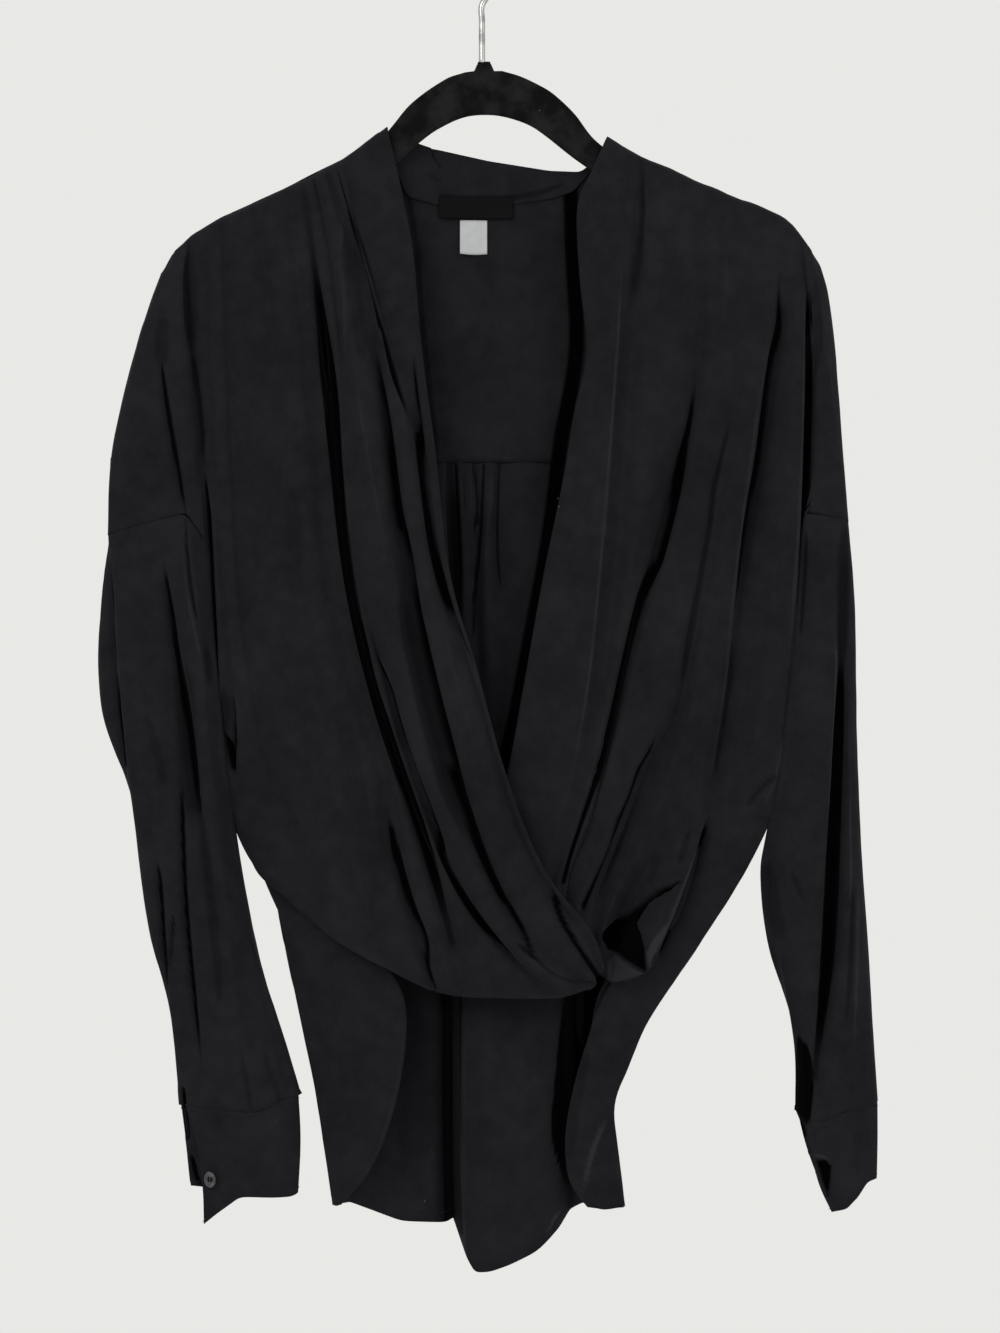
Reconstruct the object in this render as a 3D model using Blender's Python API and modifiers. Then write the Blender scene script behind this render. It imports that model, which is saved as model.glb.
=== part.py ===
"""Drape-front wrap top on a velvet hanger.

Every piece of cloth is an open sheet with a wall behind it. A sheet is lofted across its folds:
each fold is a short row of points (x, drop, depth) in millimetres that runs down the cloth, and
the cloth between two folds swells a little away from the body.

Frame: the origin is the inside top of the hook, +Z is up and the front faces -Y. "drop" is the
distance below the origin and "depth" is Y, so a negative depth is in front of the hanger. The
wearer's right side is at -X.
"""

import math

import bmesh
import bpy
from mathutils import Vector
from mathutils.bvhtree import BVHTree

MM = 0.001

# Cloth
CLOTH_WALL = 1.5                # one layer with its turnings
SEAM_GAP = 0.6                  # between two pieces sewn together
SHOULDER_ROUND = 7.0            # radius with which the cloth turns over the hanger's arm
TOP_ROWS = (0.0, 1.0, 3.5)      # extra rows below a shoulder line, as distances down the cloth
EDGE_DEPTH = 1.6                # a fold that starts this near the middle plane starts on the edge
CLOSE_ROWS = 1.3                # the first even row is this many times the last close one, or more
FRONT_ROWS = 24                 # rows down a front below those
ARM_CORNER = 14                 # row of the fronts that ends at the armhole's outer corner
LOOP_START = 0.8                # how far down the left front its loop leaves the side
LOOP_ROWS = 7
YOKE_ROWS = 6
BACK_TOP_ROWS = 7
BACK_TAIL_ROWS = 14
SLEEVE_ROWS = 15
CUFF_ROWS = 4
NECKBAND_ROWS = 3

# Buttons, label and tag
BUTTON_RADIUS = 5.75
BUTTON_THICK = 2.0
BUTTON_SIDES = 24
RIGHT_BUTTON_AT = (-187.5, 862.0, -12.4)    # x, drop, depth of its middle
RIGHT_BUTTON_TURN = 30.0                    # degrees towards the wearer's right
LEFT_BUTTON_AT = (233.0, 846.0, 10.6)
LEFT_BUTTON_TURN = 180.0
LABEL_SIZE = (52.0, 15.0)       # width, height
LABEL_AT = (-4.0, 179.5)        # x and drop of the top edge's middle
TAG_SIZE = (19.0, 23.5)
TAG_AT = (-6.0, 195.3)
TRIM_WALL = 0.5
TRIM_COLUMNS = 7
TRIM_ROWS = 4

# Hanger
HANGER_THICK = 4.8
HANGER_TOP_EDGE = (             # x, drop of the upper edge, from the right tip to the left tip
    (-209, 229), (-198, 213.5), (-181, 203), (-146, 187), (-112, 171), (-84, 154), (-66, 137),
    (-49, 117), (-25, 100), (-12, 95.5), (0, 94), (14, 94.5), (26, 98), (39, 104), (49, 110),
    (64, 124), (78, 142), (99, 157), (120, 166), (151, 179), (178, 189.5), (199, 198),
    (210, 206), (216, 219),
)
HANGER_LOW_EDGE = (             # x, drop of the lower edge, from the left tip to the right tip
    (211, 228), (192, 219), (151, 200), (109, 180), (82, 167), (65, 156), (37, 134.5), (22, 128),
    (6, 125), (-12, 126.5), (-30, 134.5), (-42, 143), (-64, 162), (-91, 180), (-132, 199.5),
    (-174, 219), (-203, 235),
)
HANGER_BEVEL = 1.2
NUB_MIDDLE = 1.5
NUB_BASE_WIDTH = 14.0
NUB_TOP_WIDTH = 8.0
NUB_TOP_DROP = 88.0
NUB_BASE_DROP = 94.6
HOOK_WIRE = 4.4                 # diameter
HOOK_RADIUS = 20.0              # of the wire's middle line round the rod
HOOK_NECK_DROP = 48.0           # where the straight shank ends
HOOK_END_ANGLE = 200.0          # degrees round the loop, from straight right over the top

SHOULDER_SEAM = 0.75            # from the shoulder line to each sheet that meets there
SIDE_SEAM = 1.0                 # from the side seam's plane to a front's edge
TRIM_LIFT = 1.0                 # of the label and tag over the wavy cloth behind them

# Folds of each sheet, in mm. A row is (name, steps to the next fold, swell between them at the
# top, middle and end, points of (x, drop, depth) down the cloth).

RIGHT_FRONT_FOLDS = (
    ("neck_edge", 1, (2, 2, 0),
     ((-66, 133, -5), (-57.5, 169, -8), (-47.5, 220.5, -11), (-42, 284, -13), (-31.5, 364.5, -17),
      (-21.5, 447.5, -22), (-3.5, 507.5, -27), (18.5, 588.5, -32), (45.5, 652.5, -35), (76, 689.5, -36),
      (83.5, 713, -35))),
    ("neck_pleat", 2, (7, 11, 5),
     ((-96.5, 155.5, -5), (-90.5, 197, -8), (-72.5, 256.5, -10), (-55, 313.5, -12), (-40, 358.5, -14),
      (-31, 425.5, -17), (-18.5, 481.5, -22), (-1.5, 534.5, -26), (16, 594.5, -28), (42, 655, -31),
      (71, 693, -32), (82, 717.5, -32))),
    ("drape_fold_1", 2, (4, 12, 5),
     ((-109, 162.5, -8), (-94.5, 206.5, -10), (-81.5, 255, -12), (-69.5, 311, -13), (-60.5, 377, -15),
      (-47.5, 465.5, -18), (-35, 527, -21), (-16, 591, -25), (11.5, 656.5, -29), (34, 698, -31),
      (60.5, 721, -31), (78.5, 727, -31))),
    ("drape_fold_2", 2, (1, 7, 6),
     ((-116.5, 166.5, -8), (-105, 219, -11), (-96, 293.5, -14), (-89.5, 379, -15), (-84, 448, -15),
      (-70.5, 498, -17), (-51, 566, -20), (-29, 625.5, -24), (-2, 678.5, -27), (26, 712.5, -28),
      (54, 735, -28))),
    ("long_fold", 2, (2, 8, 6),
     ((-124, 170, -8), (-116.5, 219, -8), (-107, 293.5, -8), (-100, 368, -8), (-92.5, 436.5, -9),
      (-78, 507, -11), (-57.5, 571, -14), (-35, 639.5, -18), (-22, 686, -24), (-11, 734.5, -26))),
    ("low_fold", 3, (2, 6, 5),
     ((-132.5, 173.5, -8), (-125, 255, -13), (-114.5, 344.5, -15), (-103, 448, -16), (-84, 531, -16),
      (-65, 588.5, -16), (-53, 654.5, -19), (-41.5, 696.5, -24), (-33, 730.5, -26))),
    ("soft_fold", 2, (2, 5, 5),
     ((-156.5, 186, -8), (-145, 275.5, -14), (-136, 372.5, -16), (-125.5, 462, -17),
      (-108.5, 558.5, -18), (-87.5, 641.5, -20), (-67, 714.5, -22))),
    ("side_fold", 2, (2, 5, 0),
     ((-179.5, 195.5, -8), (-175.5, 275.5, -14), (-170.5, 372.5, -15), (-163.5, 476, -16),
      (-147.5, 572.5, -15), (-125.5, 634.5, -14), (-105, 694, -14))),
    ("side_corner", 1, (0, 2, 0),
     ((-192, 202, -8), (-189.5, 275.5, -13), (-184, 372.5, -14), (-178, 462, -13), (-172.5, 551.5, -10),
      (-165, 607, -8), (-154, 654, -1))),
)

RIGHT_ARM_FOLDS = (
    ("armhole_seam", 2, (0, 6, 0),
     ((-201.5, 208, -8), (-203.5, 254.5, -7), (-200, 318, -7), (-194.5, 365.5, -7), (-189.5, 424, -8))),
    ("armhole_corner", 2, (0, 2, 0),
     ((-207.5, 214.5, -8), (-212.5, 255, -13), (-214, 289.5, -15), (-213, 338, -16), (-203.5, 402, -14))),
    ("arm_drape", 2, (0, 2, 0),
     ((-214, 220.5, -1.6), (-218, 233, -7), (-225, 258.5, -11), (-232, 296.5, -12), (-234, 358.5, -14),
      (-232, 409, -12))),
    ("arm_round", 1, (0, 0, 0),
     ((-221, 232.5, -1.2), (-227, 248, -5), (-234, 270, -5), (-247.5, 318.5, -5), (-256.5, 364.5, -5),
      (-259, 417, -5))),
    ("arm_edge", 1, (0, 0, 0),
     ((-223, 235, -0.75), (-228.5, 248, -0.75), (-235.5, 270, -0.75), (-249, 319, -0.75),
      (-258, 364.5, -0.75), (-260, 417, -0.75))),
)

LEFT_FRONT_FOLDS = (
    ("neck_edge", 2, (2, 1, 1),
     ((87, 140, -5), (72.5, 172, -8), (65.5, 186, -9), (67.5, 241, -11), (72.5, 293, -12),
      (64, 331, -12), (56, 379, -12), (42, 447.5, -12), (29.5, 517, -13), (18, 579.5, -14),
      (4, 634.5, -14), (-9.5, 696.5, -14))),
    ("neck_ridge", 1, (0, 0, 0),
     ((99.5, 149.5, -8), (98, 183, -13), (95, 236.5, -16), (92, 307, -17), (87, 378.5, -17),
      (77.5, 487.5, -17), (60.5, 591, -18), (44, 643.5, -18), (29.5, 679.5, -17), (18, 712, -16))),
    ("shoulder_pleat", 3, (3, 8, 3),
     ((107.5, 153, -8), (107, 206.5, -9), (105, 269, -12), (100.5, 358.5, -13), (92, 462, -13),
      (76, 551.5, -14), (60.5, 614, -15), (49, 655, -15), (36.5, 716, -15))),
    ("drape_fold_1", 1, (1, 3, 2),
     ((150.5, 171.5, -8), (152.5, 248, -12), (151, 293, -10), (145.5, 347.5, -8), (131, 395, -7),
      (109.5, 476.5, -7), (89.5, 558.5, -8), (74.5, 613, -9), (59.5, 655, -11), (54, 717.5, -13))),
    ("drape_crest", 1, (1, 2, 1),
     ((163, 176.5, -8), (165.5, 255, -14), (161.5, 344.5, -16), (147.5, 434.5, -17), (128.5, 517, -18),
      (109, 579.5, -18), (89.5, 634.5, -18), (74.5, 672.5, -18), (69, 718.5, -17))),
    ("drape_fold_2", 1, (0, 0, 0),
     ((174.5, 182, -8), (178, 275.5, -13), (169.5, 379, -13), (150.5, 472.5, -11), (136.5, 538, -8),
      (120.5, 569.5, -8), (103.5, 607, -8), (88.5, 640, -8), (80, 672.5, -10), (76.5, 700, -12),
      (79.5, 719.5, -15))),
    ("loop_crest", 1, (0, 0, 0),
     ((180, 184, -8), (183, 275.5, -13), (174, 379, -15), (156, 476, -16), (143.5, 538, -18),
      (128.5, 579.5, -19), (116, 614, -20), (106.5, 638, -20), (94.5, 662, -18), (85.5, 683, -17),
      (82, 703.5, -17), (83.5, 721.5, -19))),
    ("loop_hollow", 1, (0, 0, 0),
     ((185.5, 185.5, -8), (187.5, 275.5, -13), (177.5, 379, -15), (161.5, 476, -16), (149.5, 538, -18),
      (138, 579.5, -19), (128.5, 614, -18), (119.5, 638, -14), (107.5, 658.5, -8), (96.5, 679.5, -5),
      (89.5, 700, -6), (89, 725, -24))),
    ("loop_band", 1, (0, 0, 0),
     ((191, 187.5, -8), (192.5, 275.5, -13), (181, 379, -15), (166.5, 476, -16), (155, 538, -18),
      (146.5, 579.5, -19), (139.5, 614, -20), (132.5, 638, -21), (120.5, 662, -25), (110.5, 683, -29),
      (105, 703.5, -31), (103.5, 721.5, -31))),
    ("loop_top", 1, (0, 0, 0),
     ((200, 191.5, -8), (198.5, 275.5, -13), (185.5, 379, -14), (171, 476, -15), (161, 538, -17),
      (154, 579.5, -19), (148.5, 614, -21), (141, 638, -25), (129.5, 662, -30), (119.5, 686, -34),
      (112.5, 716, -34))),
    ("long_fold", 2, (2, 5, 0),
     ((207, 194.5, -8), (210, 227.5, -10), (204, 280.5, -7), (194, 351, -6), (185, 406, -6),
      (176, 469, -6), (166.5, 538, -6), (161.5, 576, -7), (158, 600, -9), (155, 616.5, -13),
      (150.5, 629, -18), (145, 643, -23), (134.5, 669, -27), (125, 691, -30), (117.5, 712, -31))),
)

LEFT_SIDE_FOLDS = (
    ("side_fold", 1, (1, 3, 0),
     ((211, 197, -8), (216.5, 275.5, -13), (210.5, 358.5, -15), (200, 448, -15), (189.5, 524, -14),
      (179.5, 579.5, -12), (179.5, 611.5, -10))),
    ("side_corner", 1, (0, 2, 0),
     ((215.5, 201, -8), (221.5, 275.5, -12), (218.5, 358.5, -14), (213, 448, -13), (207, 517, -10),
      (203, 572.5, -8), (200, 614.5, -1))),
)

LEFT_ARM_FOLDS = (
    ("armhole_seam", 1, (0, 3, 0),
     ((220, 206.5, -8), (227, 271.5, -7), (225, 324, -7), (223, 378.5, -7), (220, 424, -8))),
    ("armhole_corner", 2, (0, 2, 0),
     ((225.5, 214.5, -8), (233, 282.5, -12), (234.5, 344.5, -14), (222, 401.5, -13))),
    ("arm_drape", 1, (0, 0, 0),
     ((229, 220, -1.6), (232.5, 234.5, -7), (238.5, 275.5, -10), (241.5, 303.5, -9), (246.5, 351.5, -9),
      (250.5, 406, -7))),
    ("arm_round", 1, (0, 0, 0),
     ((233.5, 227, -1.2), (237.5, 243.5, -5), (242, 271.5, -5), (245, 303.5, -4.5), (250, 365.5, -4.5),
      (253, 407, -4))),
    ("arm_edge", 1, (0, 0, 0),
     ((235, 230, -0.75), (239.5, 243.5, -0.75), (243.5, 271.5, -0.75), (246.5, 303.5, -0.75),
      (251, 365.5, -0.75), (254.5, 407.5, -0.75))),
)

SIDE_SEAMS = (
    ("right",
     ((-189.5, 424, -8), (-187, 489.5, -7), (-184, 538, -3.5), (-183.5, 552.5, -2), (-180, 579.5, -1.7),
      (-175.5, 608.5, -1.5), (-157.5, 648.5, -1.5))),
    ("left",
     ((220, 424, -8), (217.5, 489.5, -7), (214, 534.5, -3.5), (213, 547.5, -2), (211, 565.5, -1.7),
      (208.5, 586, -1.5), (201.5, 611, -1.5))),
)

YOKE_FOLDS = (
    ("right_arm_edge", "shoulder",
     ((-223, 235, 0.75), (-235.5, 270, 0.75), (-249, 319, 0.75), (-258, 364.5, 0.75))),
    ("right_arm_round", "shoulder",
     ((-221, 232.5, 1.2), (-227, 248, 5), (-247.5, 318.5, 5), (-256.5, 364.5, 5))),
    ("right_arm", "shoulder",
     ((-214, 220.5, 1.6), (-216.5, 230, 7), (-224, 289.5, 13), (-230.5, 364.5, 14))),
    ("right_shoulder_1", "shoulder",
     ((-201.5, 208, 8), (-203, 289.5, 17), (-204, 364.5, 17))),
    ("right_shoulder_2", "shoulder",
     ((-179.5, 195.5, 8), (-179.5, 282.5, 18), (-179.5, 364.5, 17))),
    ("right_shoulder_3", "shoulder",
     ((-132.5, 173.5, 8), (-132.5, 275.5, 19), (-125.5, 364.5, 20))),
    ("right_shoulder_4", "shoulder",
     ((-96.5, 155.5, 8), (-94.5, 255, 20), (-77.5, 364.5, 22))),
    ("right_neck_point", "shoulder",
     ((-69, 135, 8), (-67, 241, 19), (-49.5, 364.5, 22.5))),
    ("right_neck_0", "free",
     ((-67, 138.5, 7.5), (-63, 244.5, 19.5), (-45, 364.5, 22.5))),
    ("right_neck_1", "free",
     ((-63, 153, 9.5), (-58, 248, 20), (-39.5, 364.5, 23))),
    ("right_neck_2", "free",
     ((-53, 177.5, 10), (-49.5, 255, 21), (-32.5, 364.5, 22.5))),
    ("right_neck_3", "free",
     ((-31.5, 182.5, 16), (-29, 269, 22), (-18.5, 364.5, 22.5))),
    ("back_neck", "free",
     ((3.5, 184, 20), (3.5, 275.5, 23), (3.5, 364.5, 22.5))),
    ("left_neck_3", "free",
     ((47, 178.5, 17), (43.5, 275.5, 22), (33, 364.5, 22.5))),
    ("left_neck_2", "free",
     ((64, 173.5, 12), (62, 255, 21), (48.5, 364.5, 22.5))),
    ("left_neck_1", "free",
     ((83.5, 155, 9.5), (83, 248, 19), (74.5, 364.5, 22))),
    ("left_neck_0", "free",
     ((87.5, 144.5, 8), (88.5, 248, 19), (85, 364.5, 21.5))),
    ("left_neck_point", "shoulder",
     ((89.5, 142, 8), (94, 248, 19), (95, 364.5, 21))),
    ("left_shoulder_4", "shoulder",
     ((120, 159, 8), (126.5, 262, 20), (136.5, 364.5, 20.5))),
    ("left_shoulder_3", "shoulder",
     ((163, 176.5, 8), (167.5, 269, 19), (178, 364.5, 19))),
    ("left_shoulder_2", "shoulder",
     ((211, 197, 8), (211, 282.5, 17), (211, 364.5, 17))),
    ("left_arm", "shoulder",
     ((225.5, 214.5, 8), (229, 289.5, 16), (227.5, 364.5, 16.5))),
    ("left_arm_drape", "shoulder",
     ((229, 220, 1.6), (232.5, 233, 7), (238.5, 289.5, 11), (244.5, 364.5, 11))),
    ("left_arm_round", "shoulder",
     ((233.5, 227, 1.2), (237.5, 243.5, 5), (245, 303.5, 5), (250, 364.5, 5))),
    ("left_arm_edge", "shoulder",
     ((235, 230, 0.75), (239.5, 243.5, 0.75), (246.5, 303.5, 0.75), (251, 364.5, 0.75))),
)

BACK_TOP_FOLDS = (
    ("right_arm_edge", 1,
     ((-258, 366, 0.75), (-259.5, 393, 0.75), (-260, 417, 0.75))),
    ("right_arm_round", 2,
     ((-256.5, 366, 5), (-258, 393, 5), (-259, 417, 5))),
    ("right_arm_drape", 2,
     ((-230.5, 366, 14), (-231, 386, 14), (-232, 409, 12))),
    ("right_armhole_corner", 1,
     ((-204, 366, 17), (-204, 386, 16), (-203.5, 402, 14))),
    ("right_armhole_fold", 1,
     ((-190.5, 366, 17), (-189.5, 396.5, 14), (-189.5, 424, 8))),
    ("right_armpit", 1,
     ((-179.5, 366, 17), (-181, 462, 13), (-183, 541.5, 7), (-183.5, 552.5, 1.6))),
    ("right_side", 1,
     ((-163.5, 366, 18), (-167, 462, 17), (-168.5, 552.5, 12))),
    ("right_back_1", 1,
     ((-125.5, 366, 20), (-126.5, 462, 20), (-127, 552.5, 20))),
    ("right_back_2", 1,
     ((-77.5, 366, 22), (-78.5, 462, 22), (-80.5, 552.5, 22))),
    ("right_back_3", 1,
     ((-39.5, 366, 23), (-41.5, 462, 23), (-43, 552.5, 23))),
    ("pleat_1_near", 1,
     ((-27, 366, 22), (-27, 462, 21), (-27, 552.5, 20))),
    ("pleat_1_deep", 1,
     ((-23, 366, 24), (-22, 420.5, 32), (-20.5, 466, 35), (-20.5, 552.5, 37))),
    ("tail_left", 1,
     ((-17, 366, 21), (-13, 434.5, 18), (-12.5, 496.5, 15), (-13, 552.5, 12))),
    ("gather_1", 1,
     ((-5.5, 366, 24), (-3.5, 434.5, 27), (-4, 485.5, 24), (-3, 552.5, 14))),
    ("tail_1", 1,
     ((3.5, 366, 21), (3, 434.5, 18), (4, 489.5, 14), (9, 552.5, 10))),
    ("gather_2", 1,
     ((13, 366, 24), (11, 404.5, 28), (12.5, 440.5, 26), (15, 476, 20), (20.5, 552.5, 12))),
    ("tail_2", 1,
     ((23, 366, 22), (26, 462, 18), (36.5, 552.5, 12))),
    ("tail_right", 1,
     ((40, 366, 22), (47, 462, 20), (54, 552.5, 15))),
    ("pleat_2_deep", 1,
     ((48.5, 366, 23), (58, 462, 29), (65, 552.5, 35))),
    ("pleat_2_near", 1,
     ((58, 366, 22), (70.5, 462, 22), (76, 552.5, 20))),
    ("left_back_1", 1,
     ((95, 366, 21), (109, 462, 21), (119.5, 552.5, 20))),
    ("left_back_2", 1,
     ((150.5, 366, 20), (161, 462, 19), (167.5, 552.5, 17))),
    ("left_side", 1,
     ((195.5, 366, 18), (198.5, 462, 16), (200, 551, 12))),
    ("left_armpit", 1,
     ((211, 366, 17), (212.5, 462, 12), (213, 536.5, 6), (213, 547.5, 1.6))),
    ("left_armhole_fold", 1,
     ((217.5, 366, 17), (218.5, 396.5, 14), (220, 424, 8))),
    ("left_armhole_corner", 2,
     ((227.5, 366, 16.5), (225, 386, 16), (222, 401.5, 14))),
    ("left_arm_drape", 1,
     ((245.5, 366, 10), (248.5, 386, 10), (250.5, 406, 8))),
    ("left_arm_round", 1,
     ((250, 366, 5), (252, 386, 5), (253, 407, 5))),
    ("left_arm_edge", 1,
     ((251, 366, 0.75), (253, 386, 0.75), (254.5, 407.5, 0.75))),
)

BACK_TAIL_FOLDS = (
    ("right_hem_edge",
     ((-183.5, 552.5, 1.6), (-175.5, 608.5, 1.6), (-154, 654, 1.6), (-118.5, 681.5, -5),
      (-77.5, 703.5, -10), (-54.5, 731, -13), (-52.5, 770.5, -14), (-63, 823, -13), (-80, 862, -11),
      (-98, 880, -8))),
    ("right_flap",
     ((-168.5, 552.5, 12), (-165, 608.5, 10), (-152, 658.5, 4), (-125.5, 703.5, -6), (-94.5, 752, -12),
      (-89.5, 807, -13), (-94.5, 848.5, -11), (-100.5, 881.5, -6))),
    ("right_turn",
     ((-127, 552.5, 20), (-143, 620.5, 16), (-143, 676, 6), (-132, 736, 0), (-118, 798.5, 0),
      (-110.5, 841.5, 0), (-104, 882, 0))),
    ("right_back_2",
     ((-80.5, 552.5, 22), (-91, 641.5, 22), (-98, 710.5, 20), (-101.5, 772.5, 17), (-98, 827.5, 15),
      (-92.5, 882, 12))),
    ("right_back_3",
     ((-43, 552.5, 23), (-48.5, 641.5, 23), (-56.5, 710.5, 21), (-60, 772.5, 19), (-59.5, 827.5, 17),
      (-56.5, 896, 15))),
    ("pleat_1_near",
     ((-27, 552.5, 20), (-27, 669, 20), (-27.5, 807, 18), (-26, 897.5, 17))),
    ("pleat_1_deep",
     ((-20.5, 552.5, 37), (-20.5, 669, 38), (-21.5, 807, 38), (-20, 896.5, 34))),
    ("tail_left",
     ((-13, 552.5, 12), (-14, 669, 6), (-14.5, 779.5, 3), (-12.5, 862, 2), (-9.5, 919, 2))),
    ("gather_1",
     ((-3, 552.5, 14), (-4, 669, 2), (-5.5, 807, -1), (-5.5, 928.5, -1))),
    ("tail_1",
     ((9, 552.5, 10), (12.5, 669, 0), (12.5, 807, -4), (5.5, 927.5, -4))),
    ("gather_2",
     ((20.5, 552.5, 12), (26, 669, 2), (26, 807, -4), (20.5, 922, -4))),
    ("tail_2",
     ((36.5, 552.5, 12), (40, 669, 4), (40.5, 807, -1), (38.5, 913.5, -2))),
    ("tail_right",
     ((54, 552.5, 15), (55, 669, 9), (56.5, 772.5, 7), (58, 841.5, 4), (52.5, 899.5, 3))),
    ("pleat_2_deep",
     ((65, 552.5, 35), (65.5, 669, 36), (65.5, 772.5, 36), (65, 841.5, 28), (60.5, 888.5, 16))),
    ("pleat_2_near",
     ((76, 552.5, 20), (77.5, 669, 22), (77.5, 772.5, 22), (76, 841.5, 19), (70.5, 883, 15))),
    ("left_back_1",
     ((119.5, 552.5, 20), (109, 669, 20), (94, 765.5, 16), (85.5, 821, 13), (85.5, 884.5, 9))),
    ("left_turn",
     ((167.5, 552.5, 17), (174.5, 641.5, 6), (155, 694, 0), (131, 731, 0), (109, 766.5, 0),
      (90.5, 810.5, 0), (93, 841, 0), (99.5, 883.5, 0))),
    ("left_flap",
     ((200, 551, 12), (197.5, 624, 3), (154, 676, -6), (123, 717.5, -9), (98.5, 758.5, -10),
      (81.5, 800, -10), (74.5, 841.5, -9), (84, 884.5, -4))),
    ("left_hem_edge",
     ((213, 547.5, 1.6), (208.5, 586, 1.6), (203, 605.5, 1.6), (181.5, 605.5, -5), (161.5, 608.5, -6),
      (143.5, 641.5, -11), (109, 703.5, -12), (81.5, 727.5, -12), (76, 757.5, -11), (63, 810.5, -10),
      (57.5, 847, -9), (62, 872.5, -7), (73, 882, -5))),
)

RIGHT_SLEEVE_FOLDS = (
    ("outer_edge", 1, (0, 0, 0),
     ((-260, 417, 0), (-258, 462, -2), (-253, 527, -2), (-247.5, 575, -1), (-240, 629, 0),
      (-231, 694.5, 0), (-218, 741, 0), (-211, 811, 0))),
    ("outer_front", 2, (0, 3, 1),
     ((-259, 417, -5), (-256, 462, -7), (-251, 527, -7), (-245.5, 575, -6), (-238, 629, -5),
      (-229, 694.5, -5), (-215.5, 741, -5), (-208.5, 812, -4))),
    ("front_fold", 2, (0, 4, 2),
     ((-232, 409, -12), (-218.5, 441.5, -10), (-213, 476, -9), (-206.5, 510.5, -9), (-202, 551.5, -9),
      (-196.5, 593, -10), (-190.5, 634.5, -12), (-181, 689.5, -14), (-169.5, 752, -14), (-162, 816, -12))),
    ("front_crest", 2, (0, 0, 0),
     ((-204.5, 402.5, -14), (-198.5, 448, -17), (-192.5, 503.5, -18), (-188.5, 558.5, -17),
      (-182, 607, -15), (-172.5, 662, -13), (-158.5, 724, -11), (-142, 810, -9))),
    ("armhole_fold", 1, (0, 1, 1),
     ((-191, 424.5, -8), (-189, 489.5, -11), (-187.5, 538, -11), (-185, 576, -9), (-177.5, 617, -7),
      (-165.5, 672.5, -6), (-152, 731, -5), (-131, 806.5, -4))),
    ("inner_edge", 1, (0, 1, 1),
     ((-185.5, 554, 0), (-184, 572.5, 0), (-178.5, 608.5, 0), (-163, 672, 0), (-152.5, 724, 0),
      (-138.5, 761.5, 0), (-125.5, 804, 0))),
    ("back_armhole", 1, (0, 1, 1),
     ((-191, 424.5, 8), (-188.5, 489.5, 12), (-185.5, 545, 12), (-181.5, 600, 11), (-165.5, 669, 9),
      (-152.5, 731, 8), (-131, 805.5, 6))),
    ("back_crest", 2, (0, 1, 1),
     ((-204.5, 402.5, 14), (-201.5, 462, 17), (-200, 531, 18), (-194.5, 600, 17), (-179.5, 669, 16),
      (-167, 738, 15), (-152, 808.5, 13))),
    ("back_drape", 1, (0, 0, 0),
     ((-232, 409, 12), (-239.5, 462, 18), (-243, 517, 20), (-236, 572.5, 18), (-218.5, 634.5, 16),
      (-205, 703.5, 15), (-191, 758.5, 14), (-184, 815.5, 12))),
    ("back_bulge", 1, (0, 0, 0),
     ((-245.5, 413, 8.5), (-260, 441.5, 12), (-267.5, 476, 13), (-269, 503.5, 13), (-265.5, 541.5, 12),
      (-256.5, 567, 10), (-244.5, 600, 8), (-236, 648.5, 8), (-223.5, 710.5, 8), (-208.5, 765.5, 7),
      (-201.5, 813, 6))),
    ("outer_back", 1, (0, 0, 0),
     ((-259, 417, 5), (-264.5, 442.5, 5), (-266.5, 476, 5), (-266.5, 503.5, 5), (-263.5, 541.5, 4),
      (-256, 567, 3), (-243.5, 600, 3), (-238, 648.5, 3), (-227.5, 703.5, 3), (-214, 758.5, 3),
      (-208.5, 812.5, 3))),
)

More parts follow.
